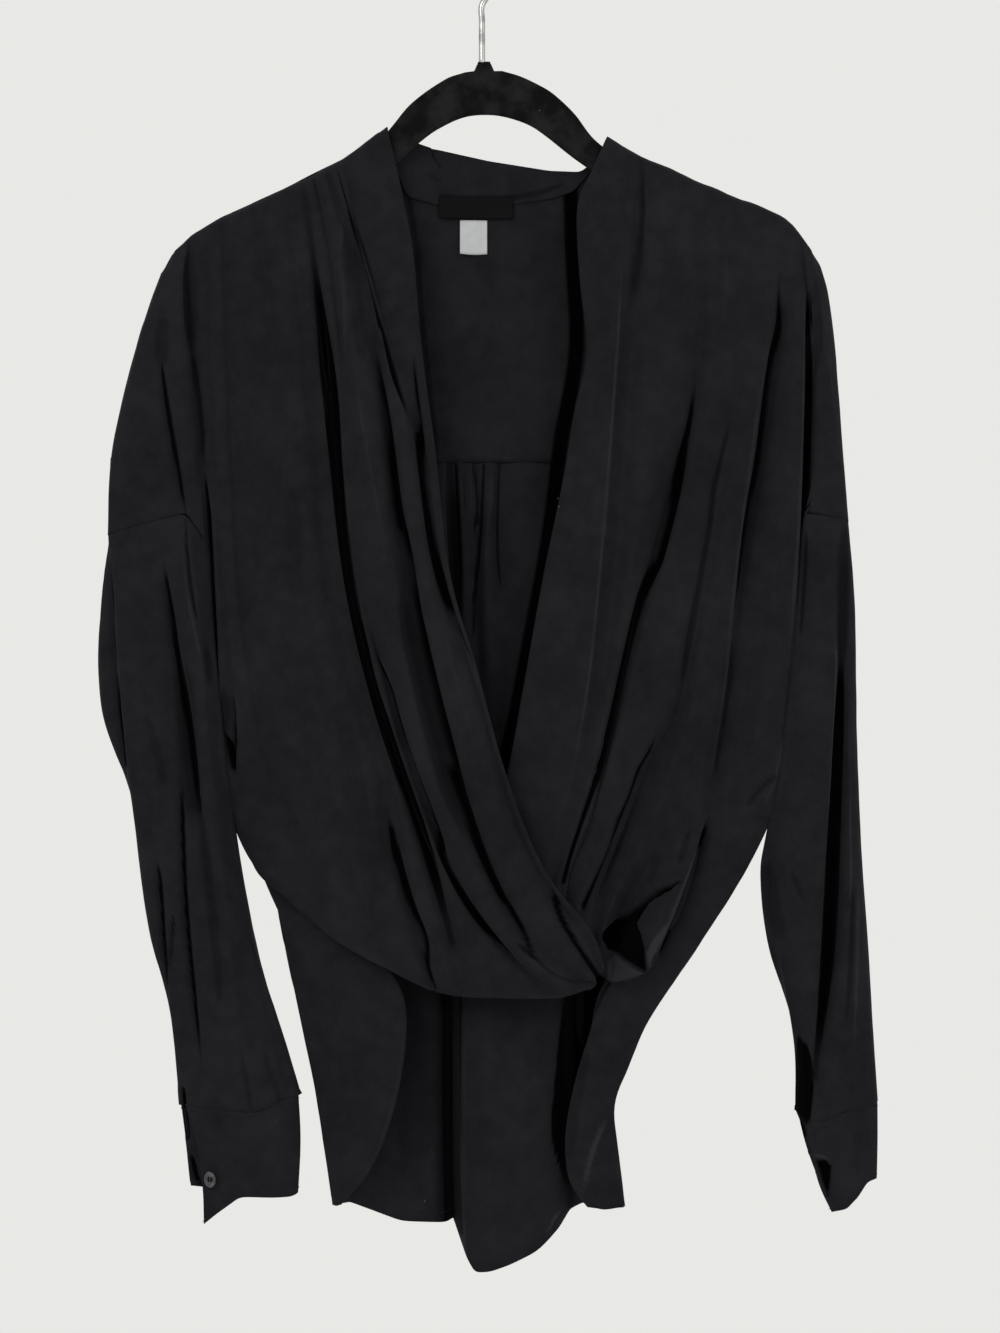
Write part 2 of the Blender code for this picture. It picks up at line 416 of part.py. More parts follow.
LEFT_SLEEVE_FOLDS = (
    ("outer_edge", 1, (0, 0, 0),
     ((254.5, 407.5, 0), (259, 460.5, 0), (261.5, 569.5, 0), (264.5, 641.5, 0), (268.5, 696.5, 0),
      (273, 773, 0), (275.5, 807, 0))),
    ("outer_front", 2, (0, 5, 5),
     ((253, 407, -4), (256.5, 460.5, -6), (259, 569.5, -8), (261.5, 641.5, -9), (265, 696.5, -9),
      (270, 773, -8), (272.5, 808.5, -7))),
    ("front_fold", 2, (0, 5, 1),
     ((250.5, 406, -7), (249, 460.5, -5), (246.5, 515, -4), (243.5, 569.5, -4), (241, 624, -4),
      (239.5, 683.5, -4), (236.5, 721.5, -5), (233, 749.5, -6), (230, 787, -7), (227.5, 823, -7))),
    ("front_crest", 1, (0, 1, 0),
     ((223, 402, -13), (227.5, 462, -17), (226.5, 531, -17), (221.5, 600, -16), (217.5, 669, -16),
      (219.5, 731, -14), (221.5, 772.5, -10), (223.5, 822, -6))),
    ("armhole_fold", 1, (0, 1, 0),
     ((221, 424.5, -8), (220, 489.5, -12), (216.5, 558.5, -12), (210.5, 614, -10), (204, 669, -9),
      (209, 727.5, -8), (217.5, 772.5, -5), (219.5, 818.5, -3))),
    ("inner_edge", 1, (0, 1, 0),
     ((214, 548, 0), (211, 586, 0), (201.5, 626, 0), (194.5, 652, 0), (198, 700, 0), (212.5, 745, 0),
      (217.5, 768.5, 0), (217.5, 814, 0))),
    ("back_armhole", 1, (0, 1, 1),
     ((221, 424.5, 8), (221, 489.5, 12), (218, 558.5, 12), (211, 614, 11), (205.5, 669, 11),
      (210.5, 727.5, 10), (218.5, 772.5, 9), (221.5, 815.5, 8))),
    ("back_crest", 2, (0, 1, 1),
     ((223, 402, 14), (230, 462, 18), (231, 545, 19), (228.5, 634.5, 17), (232, 703.5, 16),
      (241.5, 765.5, 14), (245.5, 812.5, 12))),
    ("back_drape", 1, (0, 2, 2),
     ((250.5, 406, 8), (254, 476, 14), (255.5, 572.5, 14), (258, 641.5, 13), (262, 703.5, 12),
      (266.5, 765.5, 10), (267.5, 809, 8))),
    ("outer_back", 1, (0, 0, 0),
     ((253, 407, 5), (257.5, 460.5, 6), (259.5, 569.5, 7), (262, 641.5, 7), (266.5, 696.5, 7),
      (271, 773, 5), (273, 808.5, 4))),
)

RIGHT_CUFF_FOLDS = (
    ("lap_edge", 1, (0, 0, 0),
     ((-205.5, 813, -5), (-196.5, 843, -8), (-193, 870.5, -8), (-192.5, 894, -7))),
    ("lap", 1, (0, 0, 0),
     ((-185.5, 815.5, -9.5), (-183.5, 848.5, -10), (-183, 869, -10), (-183.5, 886.5, -9))),
    ("front", 1, (0, 0, 0),
     ((-162, 817.5, -12), (-163.5, 848.5, -12), (-167, 874.5, -10))),
    ("front_inner", 1, (0, 0, 0),
     ((-142, 811, -9), (-142, 841.5, -10), (-145, 875.5, -8))),
    ("inner_front", 1, (0, 0, 0),
     ((-131, 807.5, -4), (-129.5, 841.5, -5), (-131, 875.5, -4))),
    ("inner_edge", 1, (0, 0, 0),
     ((-125.5, 805.5, 0), (-124, 834.5, 0), (-125.5, 872, 0))),
    ("inner_back", 1, (0, 0, 0),
     ((-131, 807, 6), (-129.5, 841.5, 6), (-132.5, 874, 5))),
    ("back_inner", 1, (0, 0, 0),
     ((-152, 810, 13), (-152, 841.5, 12), (-154.5, 873, 10))),
    ("back_outer", 1, (0, 0, 0),
     ((-184, 816.5, 12), (-179.5, 841.5, 11), (-177.5, 874.5, 9))),
    ("outer_back", 1, (0, 0, 0),
     ((-201.5, 814.5, 7), (-197.5, 841.5, 7), (-194.5, 870.5, 7))),
    ("outer_edge", 1, (0, 0, 0),
     ((-210.5, 813, 1), (-207.5, 841.5, 1), (-204, 868.5, 1))),
    ("under_lap_end", 1, (0, 0, 0),
     ((-197.5, 816.5, -2), (-190.5, 841.5, -3), (-186.5, 867.5, -3))),
)

LEFT_CUFF_FOLDS = (
    ("lap_edge", 1, (0, 0, 0),
     ((221.5, 824, -4), (226.5, 841.5, -7), (233, 867, -8), (242, 885.5, -7))),
    ("lap", 1, (0, 0, 0),
     ((233, 825.5, -10), (237.5, 848.5, -12), (244.5, 869, -12), (252, 883, -10))),
    ("front", 1, (0, 0, 0),
     ((251, 818.5, -12.5), (254, 848.5, -13), (260, 874.5, -10))),
    ("outer_front", 1, (0, 0, 0),
     ((266.5, 812.5, -9.5), (267.5, 841.5, -8), (267, 865, -6))),
    ("outer_edge", 1, (0, 0, 0),
     ((276, 811, 0), (276, 834.5, 0), (275.5, 863, 0))),
    ("outer_back", 1, (0, 0, 0),
     ((267.5, 813, 8), (269, 841.5, 8), (269, 865, 6))),
    ("back", 1, (0, 0, 0),
     ((245.5, 816, 12), (248.5, 841.5, 12), (252.5, 869, 10))),
    ("inner_back", 1, (0, 0, 0),
     ((223.5, 816.5, 8), (230, 841.5, 8), (238.5, 865.5, 7))),
    ("inner_edge", 1, (0, 0, 0),
     ((217.5, 816, 2), (223.5, 840, 1), (232, 862, 1))),
    ("under_lap_end", 1, (0, 0, 0),
     ((225, 827, -1), (230.5, 845, -2), (238.5, 865.5, -2))),
)

NECKBAND_FOLDS = (
    ("right_end", 2,
     ((-63.5, 138.5, 7.5), (-59.5, 154.5, 10))),
    ("right_turn", 2,
     ((-51.5, 141, 9), (-52.5, 176.5, 10))),
    ("right_back", 2,
     ((-34.5, 146, 14), (-31, 181, 16))),
    ("back_neck", 2,
     ((3.5, 153.5, 19.5), (3.5, 182.5, 20))),
    ("left_back", 2,
     ((47, 161, 16.5), (47, 177, 17))),
    ("left_turn", 2,
     ((69, 163, 10.5), (64, 171.5, 12))),
    ("left_end", 2,
     ((83.5, 151, 8.5), (81.5, 154, 9.5))),
)


# ---------------------------------------------------------------- geometry helpers

def mix(a, b, t):
    return a + (b - a) * t


def spline(points):
    """A smooth curve through points; returns its length and a function of the fraction along it."""
    knots = [0.0]
    for a, b in zip(points, points[1:]):
        knots.append(knots[-1] + math.dist(a, b))
    tangents = []
    for i in range(len(points)):
        before, after = max(i - 1, 0), min(i + 1, len(points) - 1)
        span = knots[after] - knots[before]
        tangents.append([(q - p) / span for p, q in zip(points[before], points[after])])

    def at(fraction):
        s = fraction * knots[-1]
        i = 0
        while i < len(points) - 2 and s > knots[i + 1]:
            i += 1
        span = knots[i + 1] - knots[i]
        t = (s - knots[i]) / span
        weights = (2 * t**3 - 3 * t**2 + 1, 3 * t**2 - 2 * t**3,
                   (t**3 - 2 * t**2 + t) * span, (t**3 - t**2) * span)
        ends = zip(points[i], points[i + 1], tangents[i], tangents[i + 1])
        return [sum(w * v for w, v in zip(weights, values)) for values in ends]

    return knots[-1], at


def fold_column(points, rows, over_shoulder):
    """The points down one fold at each row; over_shoulder rounds its top over the hanger."""
    ends_on_side = abs(points[-1][2]) == SIDE_SEAM
    if ends_on_side:
        points = points[:-1] + ((*points[-1][:2], points[-2][2]),)
    length, at = spline(points)
    from_edge = abs(points[0][2]) <= EDGE_DEPTH
    nearest = -min(rows) / min((row for row in rows if row > 0))
    column = []
    for row in rows:
        fraction = row
        if row < 0:
            fraction = 0 if from_edge else -row / max(length, CLOSE_ROWS * nearest)
        elif row > 1:
            fraction = 1 - (row - 1) / length
        x, drop, depth = at(fraction)
        if over_shoulder and not from_edge:
            depth = turn_in(depth, fraction * length, SHOULDER_SEAM)
        if ends_on_side:
            depth = turn_in(depth, (1 - fraction) * length, SIDE_SEAM)
        column.append((x, drop, depth))
    return column


def turn_in(depth, distance, seam):
    """Rounds a sheet towards the plane where front and back meet, near its edge."""
    if abs(depth) <= seam:
        return depth
    rest = 1 - min(distance / SHOULDER_ROUND, 1)
    return math.copysign(mix(seam, abs(depth), math.sqrt(1 - rest * rest)), depth)


def swell_at(swell, t):
    """Height of the bulge between two folds: a curve through its top, middle and end values."""
    top, middle, end = swell
    return top * (1 - t) * (1 - 2 * t) + 4 * middle * t * (1 - t) + end * t * (2 * t - 1)


def loft(folds, rows, facing, over_shoulder=False, first_line=None, last_line=None):
    """Columns of points across a sheet. facing is 1 where the folds run from -X to +X in front.

    A fold is (name, steps to the next fold, swell or None, points). Where the sheet meets another
    grid, first_line stands in for the points of the first fold and last_line comes after the last.
    """
    columns = []
    lines = [fold_column(points, rows, over_shoulder) for *_, points in folds]
    if first_line:
        lines[0] = first_line
    if last_line:
        lines.append(last_line)
    for (_, steps, swell, _), near, far in zip(folds, lines, lines[1:]):
        for step in range(steps):
            across = step / steps
            column = []
            for i, (a, b) in enumerate(zip(near, far)):
                x, drop, depth = (mix(p, q, across) for p, q in zip(a, b))
                if swell and step:
                    wide = math.hypot(b[0] - a[0], b[2] - a[2]) or 1.0
                    down = i / (len(near) - 1)
                    bulge = facing * swell_at(swell, down) * (1 - abs(2 * across - 1) ** 3) / wide
                    x += bulge * (b[2] - a[2])
                    depth -= bulge * (b[0] - a[0])
                column.append((x, drop, depth))
            columns.append(column)
    columns.append(lines[-1])
    return columns


def even_rows(count):
    return [i / count for i in range(count + 1)]


def shoulder_rows(count, also_end=False):
    """Even rows with closer ones just below the shoulder line, and at the end where it turns too.

    A negative row is a distance in mm from the top; one over 1 is 1 plus a distance from the end.
    """
    rows = [0.0] + [-d for d in TOP_ROWS[1:]]
    rows += [(i + 0.35) / (count + 0.35) for i in range(count)]
    if also_end:
        rows += [1 + d for d in reversed(TOP_ROWS[1:])]
    return rows + [1.0]


def to_world(point):
    x, drop, depth = point
    return Vector((x, depth, -drop)) * MM


# ---------------------------------------------------------------- making objects

def material(name, color, roughness, metallic=0.0):
    made = bpy.data.materials.new(name)
    made.use_nodes = True
    shader = made.node_tree.nodes["Principled BSDF"]
    shader.inputs["Base Color"].default_value = (*color, 1.0)
    shader.inputs["Roughness"].default_value = roughness
    shader.inputs["Metallic"].default_value = metallic
    return made


def add_object(name, mesh, color_material, collection):
    made = bpy.data.objects.new(name, mesh)
    mesh.materials.append(color_material)
    collection.objects.link(made)
    return made


def grid_mesh(name, grids, facing, closed=False):
    """One mesh from grids of columns; grids that share a row or column are welded."""
    shape = bmesh.new()
    for columns in grids:
        verts = [[shape.verts.new(to_world(point)) for point in column] for column in columns]
        pairs = list(zip(verts, verts[1:]))
        if closed:
            pairs.append((verts[-1], verts[0]))
        for near, far in pairs:
            for i in range(len(near) - 1):
                corners = (near[i], near[i + 1], far[i + 1], far[i])
                shape.faces.new(corners if facing > 0 else corners[::-1])
    bmesh.ops.remove_doubles(shape, verts=shape.verts, dist=0.01 * MM)
    mesh = bpy.data.meshes.new(name)
    shape.to_mesh(mesh)
    shape.free()
    mesh.shade_smooth()
    return mesh


def cloth(name, grids, facing, color_material, collection, wall=CLOTH_WALL, closed=False):
    """A sheet whose outer face is the grids, with its wall behind."""
    sheet = add_object(name, grid_mesh(name, grids, facing, closed), color_material, collection)
    thick = sheet.modifiers.new("wall", "SOLIDIFY")
    thick.thickness = wall * MM
    thick.offset = -1.0
    return sheet


# ---------------------------------------------------------------- garment

def make_fronts(fabric, collection):
    rows = shoulder_rows(FRONT_ROWS, also_end=True)
    upper_rows = [row if row < 0 else row / rows[ARM_CORNER] for row in rows[:ARM_CORNER + 1]]
    lower_rows = [row if row > 1 else (row - rows[ARM_CORNER]) / (1 - rows[ARM_CORNER])
                  for row in rows[ARM_CORNER:]]
    (_, right_side), (_, left_side) = SIDE_SEAMS

    def arm_and_seam(arm_folds, side, facing):
        """The sleeve cap's columns, and the line of the armhole and side seam below it."""
        cap = loft(arm_folds, upper_rows, facing, over_shoulder=True)
        return cap, cap[0] + fold_column(side, lower_rows, False)[1:]

    cap, seam = arm_and_seam(RIGHT_ARM_FOLDS, right_side, -1)
    drape = loft(RIGHT_FRONT_FOLDS, rows, -1, over_shoulder=True, last_line=seam)
    cloth("right_front", [drape, cap], -1, fabric, collection)

    cap, seam = arm_and_seam(LEFT_ARM_FOLDS, left_side, 1)
    *_, fold_points = LEFT_FRONT_FOLDS[-1]
    length, _ = spline(fold_points)
    main_rows = [row if row < 0 else row * LOOP_START for row in rows if row <= 1]
    main_rows[-1:-1] = [LOOP_START - d / length for d in reversed(TOP_ROWS[1:])]
    loop_rows = [mix(LOOP_START, 1, (i + 1) / LOOP_ROWS) for i in range(LOOP_ROWS)]
    drape = loft(LEFT_FRONT_FOLDS, main_rows + loop_rows, 1, over_shoulder=True)
    side = loft(LEFT_FRONT_FOLDS[-1:] + LEFT_SIDE_FOLDS, rows, 1, over_shoulder=True,
                first_line=fold_column(fold_points, main_rows, True), last_line=seam)
    cloth("left_front", [drape, side, cap], 1, fabric, collection)


def make_back(fabric, collection):
    rows = shoulder_rows(YOKE_ROWS)
    yoke = [fold_column(points, rows, start == "shoulder") for *_, start, points in YOKE_FOLDS]
    cloth("back_yoke", [yoke], -1, fabric, collection)

    top_folds = [(name, steps, None, points) for name, steps, points in BACK_TOP_FOLDS]
    top = loft(top_folds, even_rows(BACK_TOP_ROWS), -1)
    tail_folds = [(name, 1, None, points) for name, points in BACK_TAIL_FOLDS]
    tail = loft(tail_folds, even_rows(BACK_TAIL_ROWS), -1)
    cloth("back_panel", [top, tail], -1, fabric, collection)


def make_neckband(fabric, collection):
    folds = [(name, steps, None, points) for name, steps, points in NECKBAND_FOLDS]
    band = loft(folds, even_rows(NECKBAND_ROWS), -1)
    cloth("neckband", [band], -1, fabric, collection)


def make_sleeve(name, folds, facing, fabric, collection):
    closed_folds = folds + folds[:1]
    tube = loft(closed_folds, even_rows(SLEEVE_ROWS), facing)[:-1]
    moved = [[(x - facing * SEAM_GAP, drop + SEAM_GAP, depth) for x, drop, depth in column]
             for column in tube]
    cloth(name, [moved], facing, fabric, collection, closed=True)


def make_cuff(name, folds, facing, fabric, collection):
    band = loft(folds, even_rows(CUFF_ROWS), facing)
    cloth(name, [band], facing, fabric, collection)


def make_button(name, place, turn, plastic, collection):
    bpy.ops.mesh.primitive_cylinder_add(
        vertices=BUTTON_SIDES, radius=BUTTON_RADIUS * MM, depth=BUTTON_THICK * MM,
        location=to_world(place), rotation=(math.radians(90), 0, math.radians(-turn)))
    button = bpy.context.active_object
    button.name = name
    button.data.name = name
    button.data.materials.append(plastic)
    for owner in list(button.users_collection):
        owner.objects.unlink(button)
    collection.objects.link(button)
    rim = button.modifiers.new("rim", "BEVEL")
    rim.width = 0.5 * MM
    rim.segments = 1
    rim.limit_method = "ANGLE"


def make_trim(name, place, size, lift, behind, fabric, collection):
    """A small rectangle laid on the inside of the back: its pieces' points, moved out."""
    bpy.context.view_layer.update()
    graph = bpy.context.evaluated_depsgraph_get()
    trees = [BVHTree.FromObject(bpy.data.objects[piece], graph) for piece in behind]
    x_middle, top = place
    wide, high = size
    columns = []
    for c in range(TRIM_COLUMNS):
        x = x_middle + wide * (c / (TRIM_COLUMNS - 1) - 0.5)
        column = []
        for r in range(TRIM_ROWS):
            drop = top + high * r / (TRIM_ROWS - 1)
            start = to_world((x, drop, 0.0))
            hits = [tree.ray_cast(start, Vector((0, 1, 0)))[0] for tree in trees]
            nearest = min(hit.y for hit in hits if hit) / MM
            column.append((x, drop, nearest))
        columns.append(column)
    flat = [[(x, drop, min(depth for *_, depth in column) - lift) for x, drop, _ in column]
            for column in columns]
    cloth(name, [flat], 1, fabric, collection, wall=TRIM_WALL)


# ---------------------------------------------------------------- hanger

def make_hanger(velvet, steel, collection):
    outline = bpy.data.curves.new("hanger_body", "CURVE")
    outline.dimensions = "2D"
    outline.fill_mode = "BOTH"
    outline.extrude = (HANGER_THICK / 2 - HANGER_BEVEL) * MM
    outline.bevel_depth = HANGER_BEVEL * MM
    outline.bevel_resolution = 1
    outline.offset = -HANGER_BEVEL * MM
    nub = tuple((NUB_MIDDLE + side * width / 2, drop) for side, width, drop in (
        (-1, NUB_BASE_WIDTH, NUB_BASE_DROP), (-1, NUB_TOP_WIDTH, NUB_TOP_DROP),
        (1, NUB_TOP_WIDTH, NUB_TOP_DROP), (1, NUB_BASE_WIDTH, NUB_BASE_DROP)))
    before = tuple(p for p in HANGER_TOP_EDGE if p[0] < nub[0][0])
    after = tuple(p for p in HANGER_TOP_EDGE if p[0] > nub[-1][0])
    points = before + nub + after + HANGER_LOW_EDGE
    line = outline.splines.new("POLY")
    line.points.add(len(points) - 1)
    for target, (x, drop) in zip(line.points, points):
        target.co = (x * MM, -drop * MM, 0, 1)
    line.use_cyclic_u = True
    body = bpy.data.objects.new("hanger_body", outline)
    body.rotation_euler = (math.radians(90), 0, 0)
    outline.materials.append(velvet)
    collection.objects.link(body)

    wire = bpy.data.curves.new("hanger_hook", "CURVE")
    wire.dimensions = "3D"
    wire.bevel_depth = HOOK_WIRE / 2 * MM
    wire.bevel_resolution = 2
    wire.use_fill_caps = True
    route = hook_route()
    line = wire.splines.new("POLY")
    line.points.add(len(route) - 1)
    for target, point in zip(line.points, route):
        target.co = (*to_world(point), 1)
    hook = bpy.data.objects.new("hanger_hook", wire)
    wire.materials.append(steel)
    collection.objects.link(hook)


def hook_route():
    """Up the shank, out to the wearer's left, then round the rod over the top."""
    loop_drop = HOOK_RADIUS - HOOK_WIRE / 2
    route = [(0, NUB_TOP_DROP - SEAM_GAP, 0), (0, HOOK_NECK_DROP + 12, 0), (1.0, HOOK_NECK_DROP + 3, 0)]
    start = -50.0
    steps = 22
    for i in range(steps + 1):
        angle = math.radians(mix(start, HOOK_END_ANGLE, i / steps))
        route.append((HOOK_RADIUS * math.cos(angle), loop_drop - HOOK_RADIUS * math.sin(angle), 0))
    return route


def main():
    for old in list(bpy.data.objects):
        bpy.data.objects.remove(old, do_unlink=True)
    collection = bpy.data.collections.new("wrap_top_on_hanger")
    bpy.context.scene.collection.children.link(collection)

    fabric = material("charcoal_cloth", (0.022, 0.021, 0.026), 0.85)
    satin = material("black_satin", (0.01, 0.01, 0.012), 0.4)
    paper = material("grey_tape", (0.55, 0.56, 0.57), 0.7)
    velvet = material("black_velvet", (0.008, 0.008, 0.009), 0.95)
    steel = material("bright_steel", (0.6, 0.6, 0.62), 0.25, metallic=1.0)
    plastic = material("dark_plastic", (0.03, 0.03, 0.032), 0.3)

    make_hanger(velvet, steel, collection)
    make_fronts(fabric, collection)
    make_back(fabric, collection)
    make_neckband(fabric, collection)
    make_sleeve("right_sleeve", RIGHT_SLEEVE_FOLDS, 1, fabric, collection)
    make_sleeve("left_sleeve", LEFT_SLEEVE_FOLDS, -1, fabric, collection)
    make_cuff("right_cuff", RIGHT_CUFF_FOLDS, 1, fabric, collection)
    make_cuff("left_cuff", LEFT_CUFF_FOLDS, 1, fabric, collection)
    make_button("right_cuff_button", RIGHT_BUTTON_AT, RIGHT_BUTTON_TURN, plastic, collection)
    make_button("left_cuff_button", LEFT_BUTTON_AT, LEFT_BUTTON_TURN, plastic, collection)
    make_trim("neck_label", LABEL_AT, LABEL_SIZE, TRIM_LIFT, ("back_yoke", "neckband"), satin, collection)
    make_trim("care_tag", TAG_AT, TAG_SIZE, TRIM_LIFT, ("back_yoke",), paper, collection)


main()
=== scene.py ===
"""Looks of a drape-front wrap top on a velvet-covered hanger.

Every piece of cloth is a fine sheet on the form of its solid: it is lofted across the same folds,
smoothed, creased along the strokes drawn in the crease tables, and given its thickness.

Frame: the origin is the inside top of the hook, +Z is up and the front faces -Y. The tables are in
millimetres as (x, drop, depth): drop is the distance below the origin and depth is Y.
"""

import math

import bmesh
import bpy
import numpy as np
from mathutils import Matrix, Vector, noise
from mathutils.bvhtree import BVHTree

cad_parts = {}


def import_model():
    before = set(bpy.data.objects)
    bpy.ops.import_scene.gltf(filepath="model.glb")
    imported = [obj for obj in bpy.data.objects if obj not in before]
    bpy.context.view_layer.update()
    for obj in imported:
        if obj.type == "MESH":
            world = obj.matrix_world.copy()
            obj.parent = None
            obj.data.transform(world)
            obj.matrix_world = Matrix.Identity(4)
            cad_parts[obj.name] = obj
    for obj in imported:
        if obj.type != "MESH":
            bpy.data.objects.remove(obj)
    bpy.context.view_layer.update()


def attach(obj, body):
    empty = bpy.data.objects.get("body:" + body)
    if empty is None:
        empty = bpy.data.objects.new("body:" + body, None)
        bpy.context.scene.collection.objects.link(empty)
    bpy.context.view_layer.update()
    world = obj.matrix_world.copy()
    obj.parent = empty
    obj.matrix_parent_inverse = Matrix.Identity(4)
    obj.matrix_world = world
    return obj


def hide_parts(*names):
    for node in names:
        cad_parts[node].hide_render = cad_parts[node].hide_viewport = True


MM = 0.001

# Cloth
COLUMN_SPACING = 6.4            # before smoothing, which divides it by four
BACK_SPACING = 9.4
SHOULDER_ROUND = 7.0            # radius with which the cloth turns over the hanger's arm
SHOULDER_SEAM = 0.75
SIDE_SEAM = 1.0
EDGE_DEPTH = 1.6                # a fold that starts this near the middle plane starts on the edge
SEAM_MEET = 0.12                # depth to which the edges are drawn together at a seam
SEAM_NEAR = 2.08                # depth within which an edge is at a seam
WELD = 0.01                     # points this near each other become one
TOP_ROWS = (1.0, 3.5)           # close rows below a shoulder line, as distances down the cloth
CLOSE_ROWS = 1.3                # their spacing on a short fold, as a share of the others' spacing
FIRST_ROW = 0.35                # the next row's distance from the shoulder line, as such a share
SHOULDER_SWELL = (0.0, 0.45, 0.8)   # share of a bulge that is left at the first three rows
FRONT_ROWS = 34
ARM_CORNER = 18                 # row of the fronts that ends at the armhole's outer corner
LOOP_START = 0.8                # how far down the left front its loop leaves the side
LOOP_ROWS = 12
SIDE_TAIL_ROWS = 16
YOKE_ROWS = 12
BACK_TOP_ROWS = 12
BACK_TAIL_ROWS = 22
SLEEVE_ROWS = 28
CUFF_ROWS = 8
NECKBAND_ROWS = 5
RIGHT_LAP, LEFT_LAP = 0.6, 1.8      # how far the sleeve ends over the cuff
RIGHT_RISE, LEFT_RISE = 1.4, 2.6    # how far the cuff rises into the sleeve
SMOOTHING = 2                   # levels of subdivision
RIPPLES = (                     # waves per mm across and down, shift of the seed, share of the height
    (0.05, 0.008, 0.0, 1.5), (0.15, 0.05, 7.0, 0.4),
)
SHEETS = {                      # seed and height of the ripple, thickness, flat size and area in
                                # metres, how the sheet is held, what it rests on
    "right_front": (1.0, 0.45, 0.9, (0.36, 0.64), 0.165, "hung", "hanger_arms"),
    "left_front": (2.0, 0.45, 0.9, (0.33, 0.62), 0.14, "hung", "hanger_arms"),
    "back_yoke": (3.0, 0.3, 0.9, (0.53, 0.24), 0.096, "hung", "hanger_arms"),
    "back_panel": (4.0, 0.45, 0.9, (0.60, 0.57), 0.25, "gathered", "back_yoke_cloth"),
    "neckband": (5.0, 0.15, 1.4, (0.16, 0.03), 0.0042, "hung", "back_yoke_cloth"),
    "right_sleeve": (6.0, 0.45, 0.9, (0.19, 0.43), None, "hung", "right_front_cloth"),
    "left_sleeve": (7.0, 0.45, 0.9, (0.165, 0.43), None, "hung", "left_front_cloth"),
    "right_cuff": (8.0, 0.2, 1.4, (0.2, 0.06), None, "hung", "right_sleeve_cloth"),
    "left_cuff": (9.0, 0.2, 1.4, (0.13, 0.055), None, "hung", "left_sleeve_cloth"),
}

# Section of a crease. Distances from its stroke are in widths of the crease there.
STROKE_STEP = 7.0               # mm between the points of a stroke
TAPER = 0.3                     # share of the stroke over which each end fades
THINNEST = 0.35                 # share of its width left where it has faded
GENTLE_REACH = 2.4              # how much further the trough reaches on the gentle side
GENTLE_SHADE = 0.38             # painted shade there
CORE_EDGE = 0.7                 # the middle of a crease is painted fully dark as far as this
RIDGE_AT = 3.0                  # the cloth stands up beside the steep side
RIDGE_SPREAD = 1.8
RIDGE_SHARE = 0.26
LEAST_SHADE = 0.12              # a fainter painted shade gives way to a painted highlight
FACING_GAIN = 2.5               # how soon a crease reaches full depth as the sheet turns to be seen
FOLD_PAINTED_LIGHT = "fold_painted_light"         # attribute: 1 for painted shade deep in a crease, -1 for a painted highlight on a fold's edge, which also stands for nap flattened by rubbing

# Buttons, label and tag
BUTTON_RADIUS = 5.6
BUTTON_THICK = 2.0
BUTTON_PROFILE = (              # shares of the radius and of half the thickness, from the face round
    (0.0, -0.55), (0.52, -0.5), (0.72, -0.62), (0.8, -1.0), (0.93, -1.0), (1.0, -0.6),
    (1.0, 0.3), (0.9, 0.8), (0.6, 1.0), (0.0, 1.0),
)
HOLE_AT = 1.35                  # from the middle, across and up
HOLE_RADIUS = 0.75
BUTTON_THREAD = 0.45            # radius
THREAD_PATH = (                 # depth, height of a thread from hole to hole
    (-0.2, -1.35), (-0.95, -0.9), (-1.05, 0.0), (-0.95, 0.9), (-0.2, 1.35),
)
BUTTONS = (                     # name, (x, drop, depth) of its middle, degrees turned to the right
    ("right_cuff_button", (-187.5, 862.0, -12.4), 42.0),
    ("left_cuff_button", (233.0, 846.0, 10.6), 180.0),
)
LABELS = (                      # name, node, slot, (x of its middle, drop of its top), (width,
                                # height), lift off the cloth, sag
    ("neck_label_ribbon", "neck_label", "satin", (-4.0, 179.5), (52.0, 15.0), 0.7, 0.0),
    ("care_tag_ribbon", "care_tag", "tape", (-6.0, 195.3), (19.0, 23.5), 0.9, 0.6),
)
LABEL_COLUMNS = 24
LABEL_ROWS = 12
LABEL_THICK = 0.4
LABEL_CURL = 0.35

# Stitches
STITCH_SIZES = (("Pitch", 0.0026), ("Stitch length", 0.0019), ("Thread radius", 0.00022))
CUFF_STITCHES = ((1, -2.5), (0, 2.0))   # fraction of the folds and distance from there
HEM_STITCHES = (1, -7.0)
YOKE_STITCHES = (1, -2.5)
YOKE_STITCHED = slice(4, -5)    # the folds of the yoke that the stitches cross
STITCH_LINE_STEP = 2.5
STITCH_LIFT = 0.15

# Hanger
HANGER_THICK = 4.8
HANGER_TOP_EDGE = (             # x, drop of the upper edge, from the right tip to the left tip
    (-209, 229), (-198, 213.5), (-181, 203), (-146, 187), (-112, 171), (-84, 154), (-66, 137),
    (-49, 117), (-25, 100), (-12, 95.5), (0, 94), (14, 94.5), (26, 98), (39, 104), (49, 110),
    (64, 124), (78, 142), (99, 157), (120, 166), (151, 179), (178, 189.5), (199, 198),
    (210, 206), (216, 219),
)
HANGER_LOW_EDGE = (             # x, drop of the lower edge, from the left tip to the right tip
    (211, 228), (192, 219), (151, 200), (109, 180), (82, 167), (65, 156), (37, 134.5), (22, 128),
    (6, 125), (-12, 126.5), (-30, 134.5), (-42, 143), (-64, 162), (-91, 180), (-132, 199.5),
    (-174, 219), (-203, 235),
)
HANGER_BEVEL = 1.9
HANGER_STEP = 3.0               # between the points of its outline
NUB_MIDDLE = 1.5
NUB_BASE_WIDTH = 14.0
NUB_TOP_WIDTH = 8.0
NUB_TOP_DROP = 88.0
NUB_BASE_DROP = 94.6
HOOK_WIRE = 4.4                 # diameter
HOOK_RADIUS = 20.0              # of the wire's middle line round the rod
HOOK_NECK_DROP = 48.0           # where the straight shank ends
HOOK_NECK = 12.0                # length below it that is held straight
HOOK_START_ANGLE = -50.0        # degrees round the loop, from straight right over the top
HOOK_END_ANGLE = 200.0
HOOK_STEPS = 22
